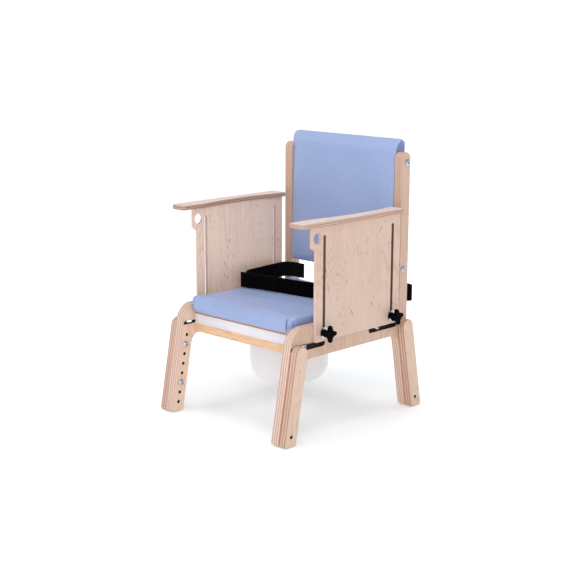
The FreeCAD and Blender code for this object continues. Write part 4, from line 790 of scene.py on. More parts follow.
def puff(obj, pins, cap_mm):
    """Swell a cover as cloth under inner pressure, by at most cap_mm, and apply it."""
    start = np.array([v.co for v in obj.data.vertices])
    group = obj.vertex_groups.new(name="pin")
    for i, weight in pins.items():
        group.add([i], weight, "REPLACE")
    cloth = obj.modifiers.new("puff", "CLOTH")
    settings = cloth.settings
    settings.quality = 6
    settings.mass = CLOTH_MASS
    settings.tension_stiffness = CLOTH_TENSION
    settings.compression_stiffness = CLOTH_TENSION
    settings.shear_stiffness = CLOTH_TENSION * 0.5
    settings.bending_stiffness = CLOTH_BENDING
    settings.use_pressure = True
    settings.uniform_pressure_force = PUFF_PRESSURE
    settings.effector_weights.gravity = 0.0
    settings.vertex_group_mass = "pin"
    cloth.collision_settings.use_collision = False
    cloth.point_cache.frame_start = 1
    cloth.point_cache.frame_end = PUFF_FRAMES
    for number in range(1, PUFF_FRAMES + 1):
        scene.frame_set(number)
    depsgraph = bpy.context.evaluated_depsgraph_get()
    swollen = obj.evaluated_get(depsgraph).to_mesh()
    move = np.array([v.co for v in swollen.vertices]) - start
    obj.data.update()
    normals = np.array([v.normal for v in obj.data.vertices])
    out = (move * normals).sum(1)
    cap = cap_mm / MM
    # outward swelling is capped, and the cover is hardly drawn in past its cut size
    keep = np.where(out > 0, cap * np.tanh(out / cap),
                    SHRINK_CAP * np.tanh(out / SHRINK_CAP))
    slide = move - normals * out[:, None]
    length = np.linalg.norm(slide, axis=1)
    slide_keep = np.where(
        length > 1e-9,
        SLIDE_CAP * np.tanh(length / SLIDE_CAP) / np.maximum(length, 1e-9), 1.0)
    points = start + normals * keep[:, None] + slide * slide_keep[:, None]
    obj.modifiers.clear()
    for v, point in zip(obj.data.vertices, points):
        v.co = point
    scene.frame_set(1)
    obj.vertex_groups.clear()


def subdivide(obj):
    """Apply one level of subdivision."""
    modifier = obj.modifiers.new("sub", "SUBSURF")
    modifier.levels = modifier.render_levels = 1
    bpy.context.view_layer.update()
    depsgraph = bpy.context.evaluated_depsgraph_get()
    mesh = bpy.data.meshes.new_from_object(
        obj.evaluated_get(depsgraph), preserve_all_data_layers=True, depsgraph=depsgraph)
    obj.modifiers.clear()
    old = obj.data
    obj.data = mesh
    bpy.data.meshes.remove(old)


def add_stitch(verts, faces, start, end, side, out, radius, tip):
    """Six-sided capsule of thread from start to end; tip scales its end rings."""
    base = len(verts)
    for t, swell in ((0.0, tip), (0.15, 0.9), (0.5, 1.05), (0.85, 0.9), (1.0, tip)):
        centre = start + (end - start) * t
        for q in range(6):
            angle = q * math.pi / 3
            around = side * math.cos(angle) + out * math.sin(angle)
            verts.append(tuple((centre + around * radius * swell) / MM))
    faces += ring_faces(5, 6, base)


# ---------------------------------------------------------------- seat cushion
SEAT_HALF = 129.6           # half width of the cover
SEAT_FRONT = -140.0         # y of the front and rear corners
SEAT_REAR = 130.8
# line of the strap over the seat: x, y
STRAP_LINE = ((112.0, 37.5), (88.0, 23.5), (40.0, 14.4), (-20.0, 4.4), (-80.0, -5.6),
              (-126.0, -15.0))
STRAP_SHIFTS = np.linspace(-44.5, 22.5, 28)
DENT_Z = 218.85             # height of the cover under the strap
DENT_REACH = 16.0           # distance over which the cover rises again


def shape_seat_body(points, up):
    """Crown, drawn-in sides, rolled front and tucked lower edge."""
    x, y, z = points.T
    across = np.clip(1 - (x / SEAT_HALF) ** 2, 0, 1)
    along = np.clip(1 - ((y + 5.0) / 136.0) ** 2, 0, 1)
    # crown, a little higher to the right
    z -= up * 0.6
    z += up * rise(-x, 70.0, 127.0) * 1.3
    # sides draw in a little between the corners
    side = rise(np.abs(x), 118.0, 129.0) * rise(z, 190, 198)
    x -= np.sign(x) * side * 1.1 * along
    # the front bulges, then rolls over, more so to the left
    front = rise(-y, 128.0, 139.0)
    y -= front * rise(z, 190, 199) * fall(z, 212, 220) * 1.2 * across ** 0.4
    roll = rise(-y, 108.0, 141.0) * up
    z -= roll * roll * 2.6 * np.clip(0.35 + 0.65 * (x + 128) / 256.0, 0, 1)
    # lower edge tucks under
    tuck = fall(z, 190.5, 199.0)
    y += rise(-y, 130, 139) * tuck * 2.4
    x -= np.sign(x) * rise(np.abs(x), 121, 129) * tuck * 1.6


def shape_seat_corner(points, side_x, side_y):
    """Folded corner: a pinched seam down it, a pleat behind it and pull lines over the top."""
    x, y, z = points.T
    front = side_y < 0
    front_left = front and side_x > 0
    dx = side_x * x - SEAT_HALF
    dy = side_y * (y - (SEAT_FRONT if front else SEAT_REAR))
    top = rise(z, 200, 214)
    # the front left corner sinks and the front right one stands up
    dip = 2.4 if front_left else -3.4 if front else 0.2
    z -= bell(np.hypot(dx + 4.0, dy + 4.0), width=12.0) * top * dip
    if front_left:
        cut = bell(np.hypot(dx, dy), width=7.5) * 4.2
        x -= side_x * cut * 0.8
        y -= side_y * cut * 0.5
    # seam: three grooves at the front left, elsewhere a thin ridge beside a groove
    bearing = (dx - dy) * 0.7071
    outer = np.clip(1 + (dx + dy) / 16.0, 0, 1)
    tall = rise(z, 193, 198) * fall(z, 216.5, 220.5)
    if front_left:
        ridge = -1.3 * bell(bearing + 5.9, width=1.2)
        groove = 0.9 * bell(bearing + 1.9, width=1.2) + 0.7 * bell(bearing + 9.9, width=1.3)
    else:
        ridge = 1.3 * bell(bearing, width=1.5)
        groove = bell(bearing - 3.4, width=1.6)
    push = (ridge - groove * 1.5) * outer * tall
    x += side_x * push * 0.60
    y += side_y * push * 0.80
    # slanted pleat on the side wall
    wall = rise(side_x * x, SEAT_HALF - 7, SEAT_HALF - 2)
    line = -11.0 - (216 - z) * 0.16
    pleat = bell(dy - line, width=1.8) * wall * rise(z, 191, 197) * fall(z, 211, 217)
    x -= side_x * pleat * 1.4
    # soft pull lines that fan out from the corner
    angle = np.arctan2(-dy, -dx)
    fan = np.sin(angle * 7.0 + side_x * 0.8 + side_y * 1.3)
    fan = fan * bell(np.hypot(dx, dy) - 30, width=15.0) * top
    z += fan * (0.9 if front_left else 0.5)


def press_strap(points, shift):
    """Keep the top below DENT_Z near the strap line moved by shift in y."""
    path = np.array(STRAP_LINE) + (0.0, shift)
    best = np.full(len(points), 1e9)
    for p, q in zip(path[:-1], path[1:]):
        d = q - p
        t = np.clip(((points[:, :2] - p) @ d) / (d @ d), 0, 1)
        nearest = p + t[:, None] * d
        best = np.minimum(best, np.linalg.norm(points[:, :2] - nearest, axis=1))
    lift = np.clip((best - 1.4) / DENT_REACH, 0, 1)
    roof = DENT_Z + 4.0 * lift ** 1.6
    top = points[:, 2] > 205
    points[top, 2] = np.minimum(points[top, 2], roof[top])


def shape_seat(points):
    x, y, z = points.T
    up = rise(z, 200.0, 217.0)
    shape_seat_body(points, up)
    for side_x in (-1, 1):
        for side_y in (-1, 1):
            shape_seat_corner(points, side_x, side_y)
    z += up * rumple(points, 14.0, 1.0) * 0.8 + up * rumple(points, 38.0, 2.0) * 0.22
    front_wall = (y < -125) * (1 - up) * rise(z, 190, 196)
    y += front_wall * rumple(points, 26.0, 3.0) * 0.9
    # the strap stays put while the seat slides, so its dent is a shallow flat of that length
    for shift in STRAP_SHIFTS:
        press_strap(points, shift)
    x[:] = np.clip(x, -132.2, 132.2)
    z[:] = np.maximum(z, 189.75)


def build_seat_cover():
    verts, faces = rounded_block(
        half_x=SEAT_HALF, y0=-139.4, y1=130.6, z0=189.9, z1=219.2,
        plan_radius=5.0, top_radius=6.5, bottom_radius=4.0, cell=3.6)
    cover = new_object("cushion_cover", verts, faces, vinyl_top)
    # the lower edge is held down
    pins = {}
    for i, z in enumerate(get_points(cover)[:, 2]):
        if z < 0.193:
            pins[i] = 1.0 if z < 0.1906 else 0.25
    puff(cover, pins, cap_mm=2.6)
    subdivide(cover)
    points = get_points(cover) * MM
    shape_seat(points)
    set_points(cover, points / MM)
    cover.data.materials.append(vinyl_side_shaded)
    for face in cover.data.polygons:
        face.use_smooth = True
        # side walls take the darker vinyl: painted shade
        face.material_index = 1 if abs(face.normal.x) > 0.75 else 0
    return cover


def corner_path(tree, stations, side_x, side_y, lift):
    """Points on the cover hit from outside a corner; stations are (x, z)."""
    y = -146.0 if side_y < 0 else 137.0
    inward = Vector((-side_x * 6.0, -side_y * 10.0, 0.0)).normalized()
    path = []
    for x, z in stations:
        hit = tree.ray_cast(Vector((x, y, z)) / MM, inward, 0.2)[0]
        # a ray that passes the rounded corner finds nothing
        if hit is not None:
            path.append(hit * MM - inward * lift)
    return path


def add_fold(name, path, radius, material, segments=8):
    """Soft vinyl cord with tapered ends along a path."""
    # a path with too few hits makes no cord
    if len(path) <= 6:
        return
    last = len(path) - 1
    verts = []
    for i, p in enumerate(path):
        along = (path[min(i + 1, last)] - path[max(i - 1, 0)]).normalized()
        a = along.cross(Vector((0.3, 0.9, 0.2))).normalized()
        b = along.cross(a)
        r = radius * {0: 0.35, 1: 0.75}.get(min(i, last - i), 1.0)
        for q in range(segments):
            angle = 2 * math.pi * q / segments
            verts.append(tuple((p + (a * math.cos(angle) + b * math.sin(angle)) * r) / MM))
    fold = new_object(name, verts, ring_faces(len(path), segments), material)
    recalc_normals(fold)
    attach(fold, "cushion")


# up one lip of a corner, over the top and down the other: offset in lip widths, z
LIP_STATIONS = ([(-1.0, z) for z in np.linspace(194.5, 214.5, 11)]
                + [(-0.6, 216.3), (0.0, 216.9), (0.6, 216.3)]
                + [(1.0, z) for z in np.linspace(214.5, 199.0, 8)])
SEAT_CORNERS = (("front_left", 1, -1), ("front_right", -1, -1),
                ("rear_left", 1, 1), ("rear_right", -1, 1))

cushion = build_seat_cover()
tree = surface_tree(cushion)
for name, side_x, side_y in SEAT_CORNERS:
    # the front left fold is wider, further in and thicker
    if name == "front_left":
        lip, base_x, lift, radius = 3.0, 125.6, 0.75, 1.25
    else:
        lip, base_x, lift, radius = 1.6, 129.0, 0.15, 0.8
    stations = [(side_x * (base_x - 1.2 + lip * offset * 0.9), z)
                for offset, z in LIP_STATIONS]
    add_fold("cushion_fold_" + name, corner_path(tree, stations, side_x, side_y, lift),
             radius, vinyl_top)
    if name == "front_left":
        # a dark cord that paints the shade in the gap between the two lips
        stations = [(124.4, z) for z in np.linspace(197.0, 214.8, 12)]
        add_fold("cushion_fold_gap_shade", corner_path(tree, stations, side_x, side_y, 0.1),
                 0.75, vinyl_gap_shade)
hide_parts("seat_cushion")
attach(cushion, "cushion")

# ---------------------------------------------------------------- back rest pad
# The pad is shaped upright about its own centre, front towards -y, then leaned back.
RECLINE = math.radians(1.6)
PAD_Y = 147.4               # place of the pad's centre in the chair
PAD_Z = 373.0
ARCH_HALF = 14.0            # half depth of the arched top
ARCH_LOW = 116.0            # where the arch starts and ends, in pad z
ARCH_HIGH = 143.8


def shape_pad_front(points):
    """Swollen, slightly rumpled front with dips at its sides and folded lower corners."""
    x, y, z = points.T
    across = np.clip(1 - (x / 130.0) ** 2, 0, 1)
    along = np.clip(1 - ((z - 14.0) / 131.0) ** 2, 0, 1)
    front = rise(-y, 0.0, 9.0)
    y -= front * 1.2 * across ** 0.5 * along ** 0.5
    y -= front * rumple(points, 9.0, 5.0) * 0.8
    y -= front * rumple(points, 26.0, 6.0) * 0.22
    for side in (-1, 1):
        out = side * x
        # the cover dips a little where it is drawn round the edge between the uprights
        dip = 1.6 if side > 0 else 0.5
        y += front * bell(out - 117, width=7.0) * fall(z, 84, 116) * dip
        # and spreads to the full width above them
        x += side * rise(out, 112, 131) * rise(z, 110, 115) * 3.4
        # lower corners, folded under
        y += bell(np.hypot(out - 123.0, z + 109.0) - 5.0, width=2.2) * front * 0.7
        angle = np.arctan2(z + 116, 128 - out)
        radius = np.hypot(z + 116, 128 - out)
        y -= np.sin(angle * 7.0 + 0.6) * bell(radius - 22, width=10.0) * front * 0.6


def shape_pad_arch(points):
    """Square section to rounded section at the top; returns each point's arch radius."""
    _, y, z = points.T
    rise_z = ARCH_HIGH - ARCH_LOW
    v = np.clip((z - ARCH_LOW) / rise_z, 0, 1.05)
    u = np.clip(y / ARCH_HALF, -1.1, 1.1)
    new_y = ARCH_HALF * u * np.sqrt(np.clip(1 - v * v / 2, 0, 1)) + 3.0 * v * v
    new_z = ARCH_LOW + rise_z * v * np.sqrt(np.clip(1 - u * u / 2, 0, 1))
    arch = z > ARCH_LOW
    y[arch] = new_y[arch]
    z[arch] = new_z[arch]
    middle = 3.0 * np.clip((z - ARCH_LOW) / 28.0, 0, 1) ** 2
    return np.hypot((y - middle) / ARCH_HALF, np.clip((z - ARCH_LOW) / rise_z, 0, 1))


def shape_pad_ends(points, arch):
    """End walls above the uprights: rolled rim, crease inside it, fold in the middle."""
    x, y, z = points.T
    for side in (-1, 1):
        out = side * x
        end = rise(out, 128.5, 132.5) * rise(z, 108, 114)
        recess = fall(arch, 0.60, 0.84)
        x -= side * end * recess * 1.5
        x -= side * end * bell(arch - 0.74, width=0.07)
        x += side * end * bell(arch - 0.93, width=0.07) * 0.8
        x += side * bell(y - (4.0 + (z - 118) * 0.10), width=1.1) * end * recess * 0.9
        # the crease carries on down the front face beside the upright
        crease = bell(out - (130.0 - fall(z, 92, 122) * 6.0), width=1.8)
        crease = crease * rise(z, 70, 96) * fall(z, 122, 134)
        y += crease * rise(-y, 4.0, 10.0) * 0.8
    # narrow enough between the uprights, wide enough above them
    limit = np.where(z < 113, 132.55, 136.2)
    x[:] = np.clip(x, -limit, limit)
    for side in (-1, 1):
        over = (side * x > 129.0) & (z > 114) & (z < 133) & (y > -9.5) & (y < 9.5)
        x[over] = side * np.maximum(side * x[over], 133.5)


def build_back_cover():
    block, faces = rounded_block(
        half_x=132.0, y0=-117.2, y1=143.6, z0=-14.4, z1=12.4,
        plan_radius=5.0, top_radius=4.5, bottom_radius=6.0, cell=3.9)
    # stand the block up: its top becomes the front
    upright = np.stack([block[:, 0], -block[:, 2], block[:, 1]], 1)
    cover = new_object("back_cover", upright, faces, vinyl_top)
    # the back is held to its board
    pins = {}
    for i, (_, y, z) in enumerate(get_points(cover) * MM):
        if y > 12.0 and z < 118:
            pins[i] = 1.0
        elif y > 8.0 and z < 128:
            pins[i] = 0.3
    puff(cover, pins, cap_mm=1.8)
    subdivide(cover)
    points = get_points(cover) * MM
    shape_pad_front(points)
    arch = shape_pad_arch(points)
    shape_pad_ends(points, arch)
    x, y, z = points.T
    chair_y = y * math.cos(RECLINE) + z * math.sin(RECLINE) + PAD_Y
    chair_z = -y * math.sin(RECLINE) + z * math.cos(RECLINE) + PAD_Z
    set_points(cover, np.stack([x, chair_y, chair_z], 1) / MM)
    cover.data.materials.append(vinyl_side_shaded)
    cover.data.materials.append(vinyl_recess_shade)
    for face in cover.data.polygons:
        face.use_smooth = True
        face.material_index = 0
        # end walls take the darker vinyl and their recess a darker one still: painted shade
        if abs(face.normal.x) > 0.7 and face.center.z > 0.48:
            recessed = np.mean([arch[i] for i in face.vertices]) < 0.80
            face.material_index = 2 if recessed else 1
    return cover


def back_point(tree, x, z, lift):
    """Point on the back of the pad, lifted off it, or None where there is no pad."""
    hit = tree.ray_cast(Vector((x / MM, 0.25, z / MM)), Vector((0, -1, 0)), 0.3)[0]
    if hit is None:
        return None
    return Vector((hit.x * MM, hit.y * MM + lift, hit.z * MM))


def build_hem(tree, x0=-122.0, x1=122.0, z0=268.0, z1=286.0, nx=72, nz=7):
    """A sewn-down strip that follows the back of the pad."""
    verts, faces = [], []
    for i in range(nx + 1):
        for j in range(nz + 1):
            x = x0 + (x1 - x0) * i / nx
            z = z0 + (z1 - z0) * j / nz
            # border sunk into the pad, then a shallow dip, then full thickness
            if i in (0, nx) or j in (0, nz):
                lift = -0.4
            elif i in (1, nx - 1) or j in (1, nz - 1):
                lift = 0.55
            else:
                lift = 0.8
            # a point that misses the pad lies on a plane behind it
            point = back_point(tree, x, z, lift) or Vector((x, 165.0, z))
            verts.append(tuple(point / MM))
    for i in range(nx):
        for j in range(nz):
            a = i * (nz + 1) + j
            faces.append((a, a + 1, a + nz + 2, a + nz + 1))
    hem = new_object("back_cover_hem", verts, faces, vinyl_top)
    recalc_normals(hem)
    return hem


def build_seam(tree, name, start, end, lift, pitch=3.4, length=2.4, radius=0.28):
    """Row of stitches between two (x, z) points on the back of the pad."""
    (xa, za), (xb, zb) = start, end
    total = math.hypot(xb - xa, zb - za)
    out = Vector((0, 1, 0))
    verts, faces = [], []
    k = 0
    while k * pitch + length < total:
        t0 = k * pitch / total
        t1 = (k * pitch + length) / total
        a = back_point(tree, xa + (xb - xa) * t0, za + (zb - za) * t0, lift)
        b = back_point(tree, xa + (xb - xa) * t1, za + (zb - za) * t1, lift)
        k += 1
        # no stitch where the seam runs off the pad
        if a is None or b is None:
            continue
        side = (b - a).normalized().cross(out).normalized()
        add_stitch(verts, faces, a, b, side, out, radius, tip=0.3)
    return new_object("back_cover_seam_" + name, verts, faces, blue_thread)


# name, start (x, z), end (x, z), lift off the pad
BACK_SEAMS = (
    ("low", (-119.0, 271.0), (119.0, 271.0), 0.85),
    ("high", (-119.0, 283.0), (119.0, 283.0), 0.85),
    ("left", (119.0, 292.0), (119.0, 486.0), 0.1),
    ("right", (-119.0, 292.0), (-119.0, 486.0), 0.1),
)

pad = build_back_cover()
tree = surface_tree(pad)
back_parts = [build_hem(tree)]
back_parts += [build_seam(tree, *seam) for seam in BACK_SEAMS]
for part in back_parts:
    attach(part, "frame")
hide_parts("backrest_pad")
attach(pad, "frame")

# ---------------------------------------------------------------- lap belt
UPRIGHT_BACK = 159.8        # y of the rear of the uprights
TAB_Y = UPRIGHT_BACK + BELT_THICK / 2 + 0.3
# lower edge of the webbing round the upright, on the left side: x, y, z
BELT_WRAP = (
    (137.0, TAB_Y, 208.5), (142.0, TAB_Y, 208.4), (145.4, TAB_Y, 208.3),
    (147.4, TAB_Y, 208.2), (151.6, TAB_Y + 3.6, 207.9), (152.0, TAB_Y + 10.5, 207.7),
    (146.5, TAB_Y + 16.0, 207.8), (138.5, TAB_Y + 16.2, 208.1),
    (132.6, TAB_Y + 11.5, 208.8), (130.4, TAB_Y + 3.0, 211.5), (130.0, 144.0, 217.0),
    (130.0, 114.5, 222.4),
)
# each half from there along the side and over the seat: x, y, z
LEFT_RUN = (
    (129.4, 84.0, 222.6), (126.0, 58.0, 221.6), (113.0, 36.0, 220.9), (88.0, 23.5, 220.5),
    (40.0, 14.4, 220.4), (-20.0, 4.4, 220.4), (-80.0, -5.6, 220.4), (-124.5, -14.7, 220.4),
)
RIGHT_RUN = (
    (-130.0, 94.0, 222.8), (-130.0, 60.0, 221.8), (-129.6, 28.0, 220.9),
    (-127.4, 8.0, 220.6), (-119.0, -4.5, 220.4), (-104.0, -6.6, 220.4),
    (-80.0, -2.9, 220.4), (-40.0, 3.8, 220.4),
)
# heights of the points up one face of a band 30 wide
BAND_ROWS = (0.0, 0.25, 0.9, 3.0, 7.5, 11.5, 15.0, 18.5, 22.5, 27.0, 29.1, 29.75, 30.0)
SELVEDGE = 0.9              # height over which a band's edge is rounded


def smooth_path(points, steps=10):
    """Catmull-Rom curve through the points."""
    out = []
    for i in range(len(points) - 1):
        p0, p1 = np.array(points[max(i - 1, 0)]), np.array(points[i])
        p2, p3 = np.array(points[i + 1]), np.array(points[min(i + 2, len(points) - 1)])
        for k in range(steps):
            t = k / steps
            out.append(0.5 * (2 * p1 + (p2 - p0) * t
                              + (2 * p0 - 5 * p1 + 4 * p2 - p3) * t * t
                              + (3 * p1 - p0 - 3 * p2 + p3) * t ** 3))
    out.append(np.array(points[-1], float))
    return np.array(out)


def path_frame(path):
    """Level unit normals and distances along a path."""
    d = np.gradient(path, axis=0)
    normals = np.stack([-d[:, 1], d[:, 0]], 1)
    normals /= np.linalg.norm(normals, axis=1)[:, None]
    steps = np.linalg.norm(np.diff(path, axis=0), axis=1)
    return normals, np.concatenate([[0], np.cumsum(steps)])


def belt_sag(point):
    """How far the belt hangs where it crosses the seat."""
    if point[1] >= 60:
        return 0.0
    return 1.3 * float(rise(point[0], -90.0, 30.0) * fall(point[0], 80.0, 126.0))


def build_band(name, path, width, thick, material, seed, shift=0.0, lift=0.0, wobble=0.25):
    """Webbing standing on edge along a path, with rounded selvedges and closed ends."""
    normals, run = path_frame(path)
    section = []
    for row in BAND_ROWS:
        v = row * width / BAND_ROWS[-1]
        edge = min(v, width - v)
        half = thick / 2
        if edge < SELVEDGE:
            half *= math.sqrt(max(0.12, 1 - (1 - edge / SELVEDGE) ** 2))
        section.append((half, v))
    ring = section + [(-half, v) for half, v in reversed(section)]
    verts, uvs = [], []
    for p, normal, s in zip(path, normals, run):
        wave = wobble * noise.noise(Vector((s * 0.035, seed, 0.0)))
        sag = belt_sag(p)
        for half, v in ring:
            bow = wave + 0.12 * noise.noise(Vector((s * 0.12, v * 0.1, seed)))
            out = shift + half + bow * (v / width)
            verts.append(((p[0] + normal[0] * out) / MM, (p[1] + normal[1] * out) / MM,
                          (p[2] + lift + v - sag) / MM))
            uvs.append((s / MM, v / MM))
    band = new_object(name, verts, ring_faces(len(path), len(ring)), material, uvs)
    recalc_normals(band)
    band.data.set_sharp_from_angle(angle=math.radians(50))
    return band


def sewn_box(start, end, row_heights, end_heights):
    """Stitch rows round a box: direction, fixed place, start, end."""
    return ([("along", height, start, end) for height in row_heights]
            + [("across", place, *end_heights) for place in (start, end)])


def build_stitches(name, path, rows, shift, pitch=2.6, length=1.9, radius=0.24):
    """Short stitches lying on the face of a band."""
    normals, run = path_frame(path)
    verts, faces = [], []

    def on_band(s, height):
        i = min(max(np.searchsorted(run, s) - 1, 0), len(path) - 2)
        t = (s - run[i]) / max(run[i + 1] - run[i], 1e-6)
        p = path[i] * (1 - t) + path[i + 1] * t
        n = normals[i] * (1 - t) + normals[i + 1] * t
        point = np.array([p[0] + n[0] * shift, p[1] + n[1] * shift,
                          p[2] + height - belt_sag(p)])
        return point, np.array([n[0], n[1], 0.0])

    for direction, fixed, start, end in rows:
        place = start
        while place + length <= end:
            if direction == "along":
                a, out = on_band(place, fixed)
                b, _ = on_band(place + length, fixed)
            else:
                a, out = on_band(fixed, place)
                b, _ = on_band(fixed, place + length)
            side = np.cross((b - a) / np.linalg.norm(b - a), out)
            add_stitch(verts, faces, a, b, side, out, radius, tip=0.35)
            place += pitch
    return new_object(name, verts, faces, black_thread)


def build_belt(side, points, patch_length, seed):
    """One half of the belt with its pile patch and stitching."""
    name = "belt_" + side
    outward = 1 if side == "left" else -1
    path = smooth_path(points)
    _, run = path_frame(path)
    body = build_band(name, path, BELT_WIDTH, BELT_THICK - 0.1, black_webbing, seed)
    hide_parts("lap_belt_" + side)

    # the left half carries pile behind its free end, the right half in front
    free_end = path[int(np.searchsorted(run, run[-1] - patch_length)):]
    end_normals, end_run = path_frame(free_end)
    rear = 1.0 if end_normals[len(end_normals) // 2][1] > 0 else -1.0
    pile_side = rear * outward
    pile = build_band(name + "_pile", free_end[1:-1], 26.0, 0.5, black_pile, seed,
                      shift=pile_side * (BELT_THICK / 2 + 0.1), lift=2.0, wobble=0.0)
    on_face = BELT_THICK / 2 + 0.02
    rows = sewn_box(3.0, end_run[-1] - 3.0, row_heights=(3.2, 26.8), end_heights=(3.5, 27.0))
    extras = [pile, build_stitches(name + "_stitch_face", free_end, rows,
                                   -pile_side * on_face)]

    # a sewn box closes the loop, near y = 150 past the wrap's first 60 points
    early = np.where(np.arange(len(path)) < 60, 1e3, 0)
    centre = run[int(np.argmin(np.abs(path[:, 1] - 150.0) + early))]
    rows = sewn_box(centre - 12, centre + 12, row_heights=(4.0, 26.0),
                    end_heights=(4.0, 26.0))
    for i, face_side in enumerate((-1, 1)):
        extras.append(build_stitches(name + "_stitch_box%d" % i, path, rows,
                                     face_side * on_face))
    for part in [body] + extras:
        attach(part, "frame")
        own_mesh(part)


build_belt("left", BELT_WRAP + LEFT_RUN, patch_length=86.0, seed=1.0)
build_belt("right", tuple((-x, y, z) for x, y, z in BELT_WRAP) + RIGHT_RUN,
           patch_length=82.0, seed=2.0)

# ---------------------------------------------------------------- clamping knobs
KNOB_STEPS = 144            # points round the knob
LOBE_TIP = 15.6             # radius to the tip of a lobe
LOBE_HALF = 3.7             # half width of a lobe, also its tip radius
WEB_RADIUS = 9.0            # radius between the lobes
WEB_BLEND = 3.6
STAR_LOW = 10.9             # height of the star above the foot of the hub
STAR_HIGH = 17.4
CROWN_INSET = 2.1
KNOB_X = 158.6
KNOB_Z = 190.0
# hub: radius, z
HUB = ((5.9, 0.0), (6.15, 0.25), (6.15, 9.6), (6.6, 10.5))
# side of the star: radius added to the outline, z
STAR_SIDE = (
    (-1.7, STAR_LOW), (-0.7, STAR_LOW + 0.25), (-0.15, STAR_LOW + 0.9),
    (0.0, STAR_LOW + 1.8), (0.0, STAR_HIGH - 2.0), (-0.12, STAR_HIGH - 1.2),
    (-0.5, STAR_HIGH - 0.5), (-1.2, STAR_HIGH - 0.12), (-CROWN_INSET, STAR_HIGH),
)
# dished crown: scale of the inset outline, z
CROWN = ((0.72, STAR_HIGH + 0.05), (0.50, STAR_HIGH - 0.1))
# round recess in its middle: radius, z
RECESS = ((4.2, STAR_HIGH - 0.35), (3.9, STAR_HIGH - 0.75), (3.4, STAR_HIGH - 0.85),
          (0.9, STAR_HIGH - 0.85))


def star_radius(angle):
    """Outline of four round-tipped lobes, blended into the web so the valleys are concave."""
    tip_centre = LOBE_TIP - LOBE_HALF
    r = 0.0
    for k in range(4):
        d = (angle - k * math.pi / 2 + math.pi) % (2 * math.pi) - math.pi
        if abs(d) < math.pi / 2:
            offset = tip_centre * math.sin(d)
            if abs(offset) < LOBE_HALF:
                r = max(r, tip_centre * math.cos(d) + math.sqrt(LOBE_HALF ** 2 - offset ** 2))
            flank = (LOBE_HALF + 0.35) / max(abs(math.sin(d)), 1e-4)
            if flank * math.cos(d) < tip_centre:
                r = max(r, flank)
    h = max(0.0, min(1.0, 0.5 + 0.5 * (r - WEB_RADIUS) / WEB_BLEND))
    return min(WEB_RADIUS * (1 - h) + r * h + WEB_BLEND * h * (1 - h), LOBE_TIP)


def build_knob(name):
    """Four-lobed moulded knob, its axis along z."""
    angles = [2 * math.pi * i / KNOB_STEPS for i in range(KNOB_STEPS)]
    outline = np.array([star_radius(a) for a in angles])
    for _ in range(2):
        outline = 0.25 * np.roll(outline, 1) + 0.5 * outline + 0.25 * np.roll(outline, -1)
    circle = np.ones(KNOB_STEPS)
    rings = [(circle * r, z) for r, z in HUB]
    rings += [(outline + grow, z) for grow, z in STAR_SIDE]
    rings += [((outline - CROWN_INSET) * scale, z) for scale, z in CROWN]
    rings += [(circle * r, z) for r, z in RECESS]
    verts = [(r * math.cos(a) / MM, r * math.sin(a) / MM, z / MM)
             for radii, z in rings for r, a in zip(radii, angles)]
    knob = new_object(name, verts, ring_faces(len(rings), KNOB_STEPS), black_plastic)
    knob.data.set_sharp_from_angle(angle=math.radians(55))
    return knob


for sign, side in ((1, "left"), (-1, "right")):
    for end, twist in (("front", 0.0), ("rear", 12.0)):
        knob = build_knob("knob_body_%s_%s" % (end, side))
        outward = Vector((0, 0, 1)).rotation_difference(Vector((sign, 0, 0)))
        turn = Matrix.Rotation(math.radians(twist * sign), 4, "Z")
        place = Matrix.Translation((sign * KNOB_X / MM, KNOB_Y[end] / MM, KNOB_Z / MM))
        knob.data.transform(place @ (outward.to_matrix().to_4x4() @ turn))
        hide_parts("knob_%s_%s" % (end, side))
        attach(knob, "clamp_%s_%s" % (end, side))

# ---------------------------------------------------------------- camera
CAMERA_AZIMUTH = math.radians(44.222)       # from -Y towards +X
CAMERA_ELEVATION = math.radians(12.121)
CAMERA_ROLL = math.radians(0.211)
CAMERA_DISTANCE = 2.4063
CAMERA_TARGET = Vector((12.83, -35.06, 245.16)) / MM


def add_camera():
    level = math.cos(CAMERA_ELEVATION)
    back = Vector((math.sin(CAMERA_AZIMUTH) * level, -math.cos(CAMERA_AZIMUTH) * level,
                   math.sin(CAMERA_ELEVATION)))
    right = Vector((math.cos(CAMERA_AZIMUTH), math.sin(CAMERA_AZIMUTH), 0.0))
    up = back.cross(right)
    rolled_right = right * math.cos(CAMERA_ROLL) + up * math.sin(CAMERA_ROLL)
    rolled_up = up * math.cos(CAMERA_ROLL) - right * math.sin(CAMERA_ROLL)
    place = CAMERA_TARGET + back * CAMERA_DISTANCE
    camera = bpy.data.cameras.new("camera")
    obj = bpy.data.objects.new("camera", camera)
    scene.collection.objects.link(obj)
    rows = [row for row in zip(rolled_right, rolled_up, back, place)]
    obj.matrix_world = Matrix(rows + [(0, 0, 0, 1)])
    camera.sensor_width = 36.0
    camera.lens = 79.85
    camera.shift_x = 0.0103
    camera.shift_y = -0.0062
    camera.clip_start = 0.05
    camera.clip_end = 60.0
    scene.camera = obj


# ---------------------------------------------------------------- floor, world, lights
FLOOR_HALF = 9.0            # metres
FLOOR_Z = -0.0004


def pale_floor():
    """Near-white floor that glows more with distance from the chair."""
    m = Shader("pale_floor")
    cloud = m.noise(m.coords(), scale=6.0, detail=3.0)
    position = m.node("ShaderNodeNewGeometry").outputs["Position"]
    distance = m.node("ShaderNodeVectorMath", {0: position}, operation="LENGTH")
    glow = m.node("ShaderNodeMapRange", {
        "Value": distance.outputs["Value"], "From Min": 0.16, "From Max": 1.1,
        "To Min": 0.145, "To Max": 0.50}).outputs[0]
    return m.finish(m.mix(cloud, srgb(246, 251, 254), srgb(244, 249, 252)), 0.75,
                    Specular_IOR_Level=0.15, Emission_Color=(1.0, 1.0, 1.0, 1.0),
                    Emission_Strength=glow)


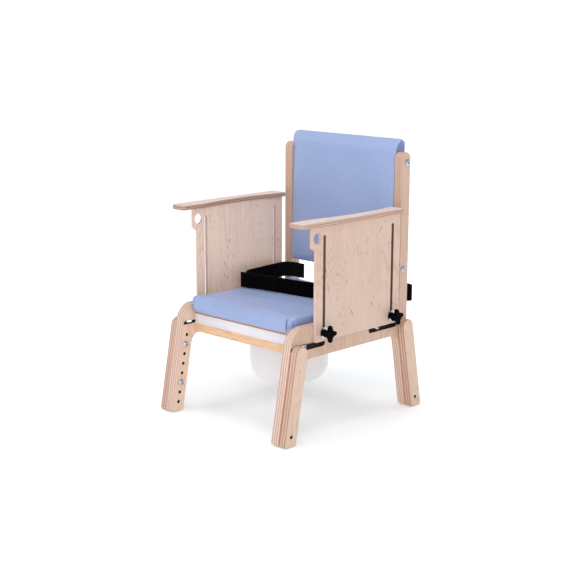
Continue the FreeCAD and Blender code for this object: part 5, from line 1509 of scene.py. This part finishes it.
def add_floor():
    corners = [(x * FLOOR_HALF, y * FLOOR_HALF, FLOOR_Z)
               for x, y in ((-1, -1), (1, -1), (1, 1), (-1, 1))]
    new_object("floor", corners, [(0, 1, 2, 3)], pale_floor())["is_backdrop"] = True


def add_world(light_strength, seen_strength):
    """White surroundings, brighter to the camera than as a light."""
    world = bpy.data.worlds.new("studio")
    scene.world = world
    world.use_nodes = True
    nodes = world.node_tree.nodes
    links = world.node_tree.links
    lighting = nodes["Background"]
    seen = nodes.new("ShaderNodeBackground")
    for background, strength in ((lighting, light_strength), (seen, seen_strength)):
        background.inputs[0].default_value = (1.0, 1.0, 1.0, 1.0)
        background.inputs[1].default_value = strength
    light_path = nodes.new("ShaderNodeLightPath")
    mix = nodes.new("ShaderNodeMixShader")
    output = next(n for n in nodes if n.type == "OUTPUT_WORLD")
    links.new(light_path.outputs["Is Camera Ray"], mix.inputs[0])
    links.new(lighting.outputs[0], mix.inputs[1])
    links.new(seen.outputs[0], mix.inputs[2])
    links.new(mix.outputs[0], output.inputs["Surface"])


def add_area_light(name, place, size, power, target):
    """Square area light in metres and watts, hidden from the camera."""
    light = bpy.data.lights.new(name, "AREA")
    light.shape = "RECTANGLE"
    light.size = light.size_y = size
    light.energy = power
    obj = bpy.data.objects.new(name, light)
    scene.collection.objects.link(obj)
    obj.location = place
    aim = Vector(target) - Vector(place)
    obj.rotation_euler = aim.to_track_quat("-Z", "Y").to_euler()
    obj.visible_camera = False
    obj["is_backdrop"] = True


add_camera()
add_floor()
add_world(light_strength=0.56, seen_strength=1.03)
add_area_light("key", place=(-1.3, -2.4, 2.6), size=1.4, power=10.0, target=(0, 0, 0.25))
add_area_light("fill", place=(1.75, -2.0, 1.25), size=1.8, power=30.0, target=(0, 0, 0.25))
add_area_light("top", place=(0.0, 0.1, 2.9), size=1.6, power=30.5, target=(0, 0, 0.2))

scene.view_settings.view_transform = "Standard"
scene.view_settings.look = "None"
scene.view_settings.exposure = 0.0
scene.view_settings.gamma = 1.0


# ---------------------------------------------------------------- sizes
def plain(bounds):
    """Bounds as plain lists of floats; they come as corners or as a dict of them."""
    if isinstance(bounds, dict):
        return {key: plain(value) for key, value in bounds.items()}
    return [[float(c) for c in corner] for corner in bounds]


bpy.context.view_layer.update()
{"cad": plain(BOUNDS_CAD), "scene": plain(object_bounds())}
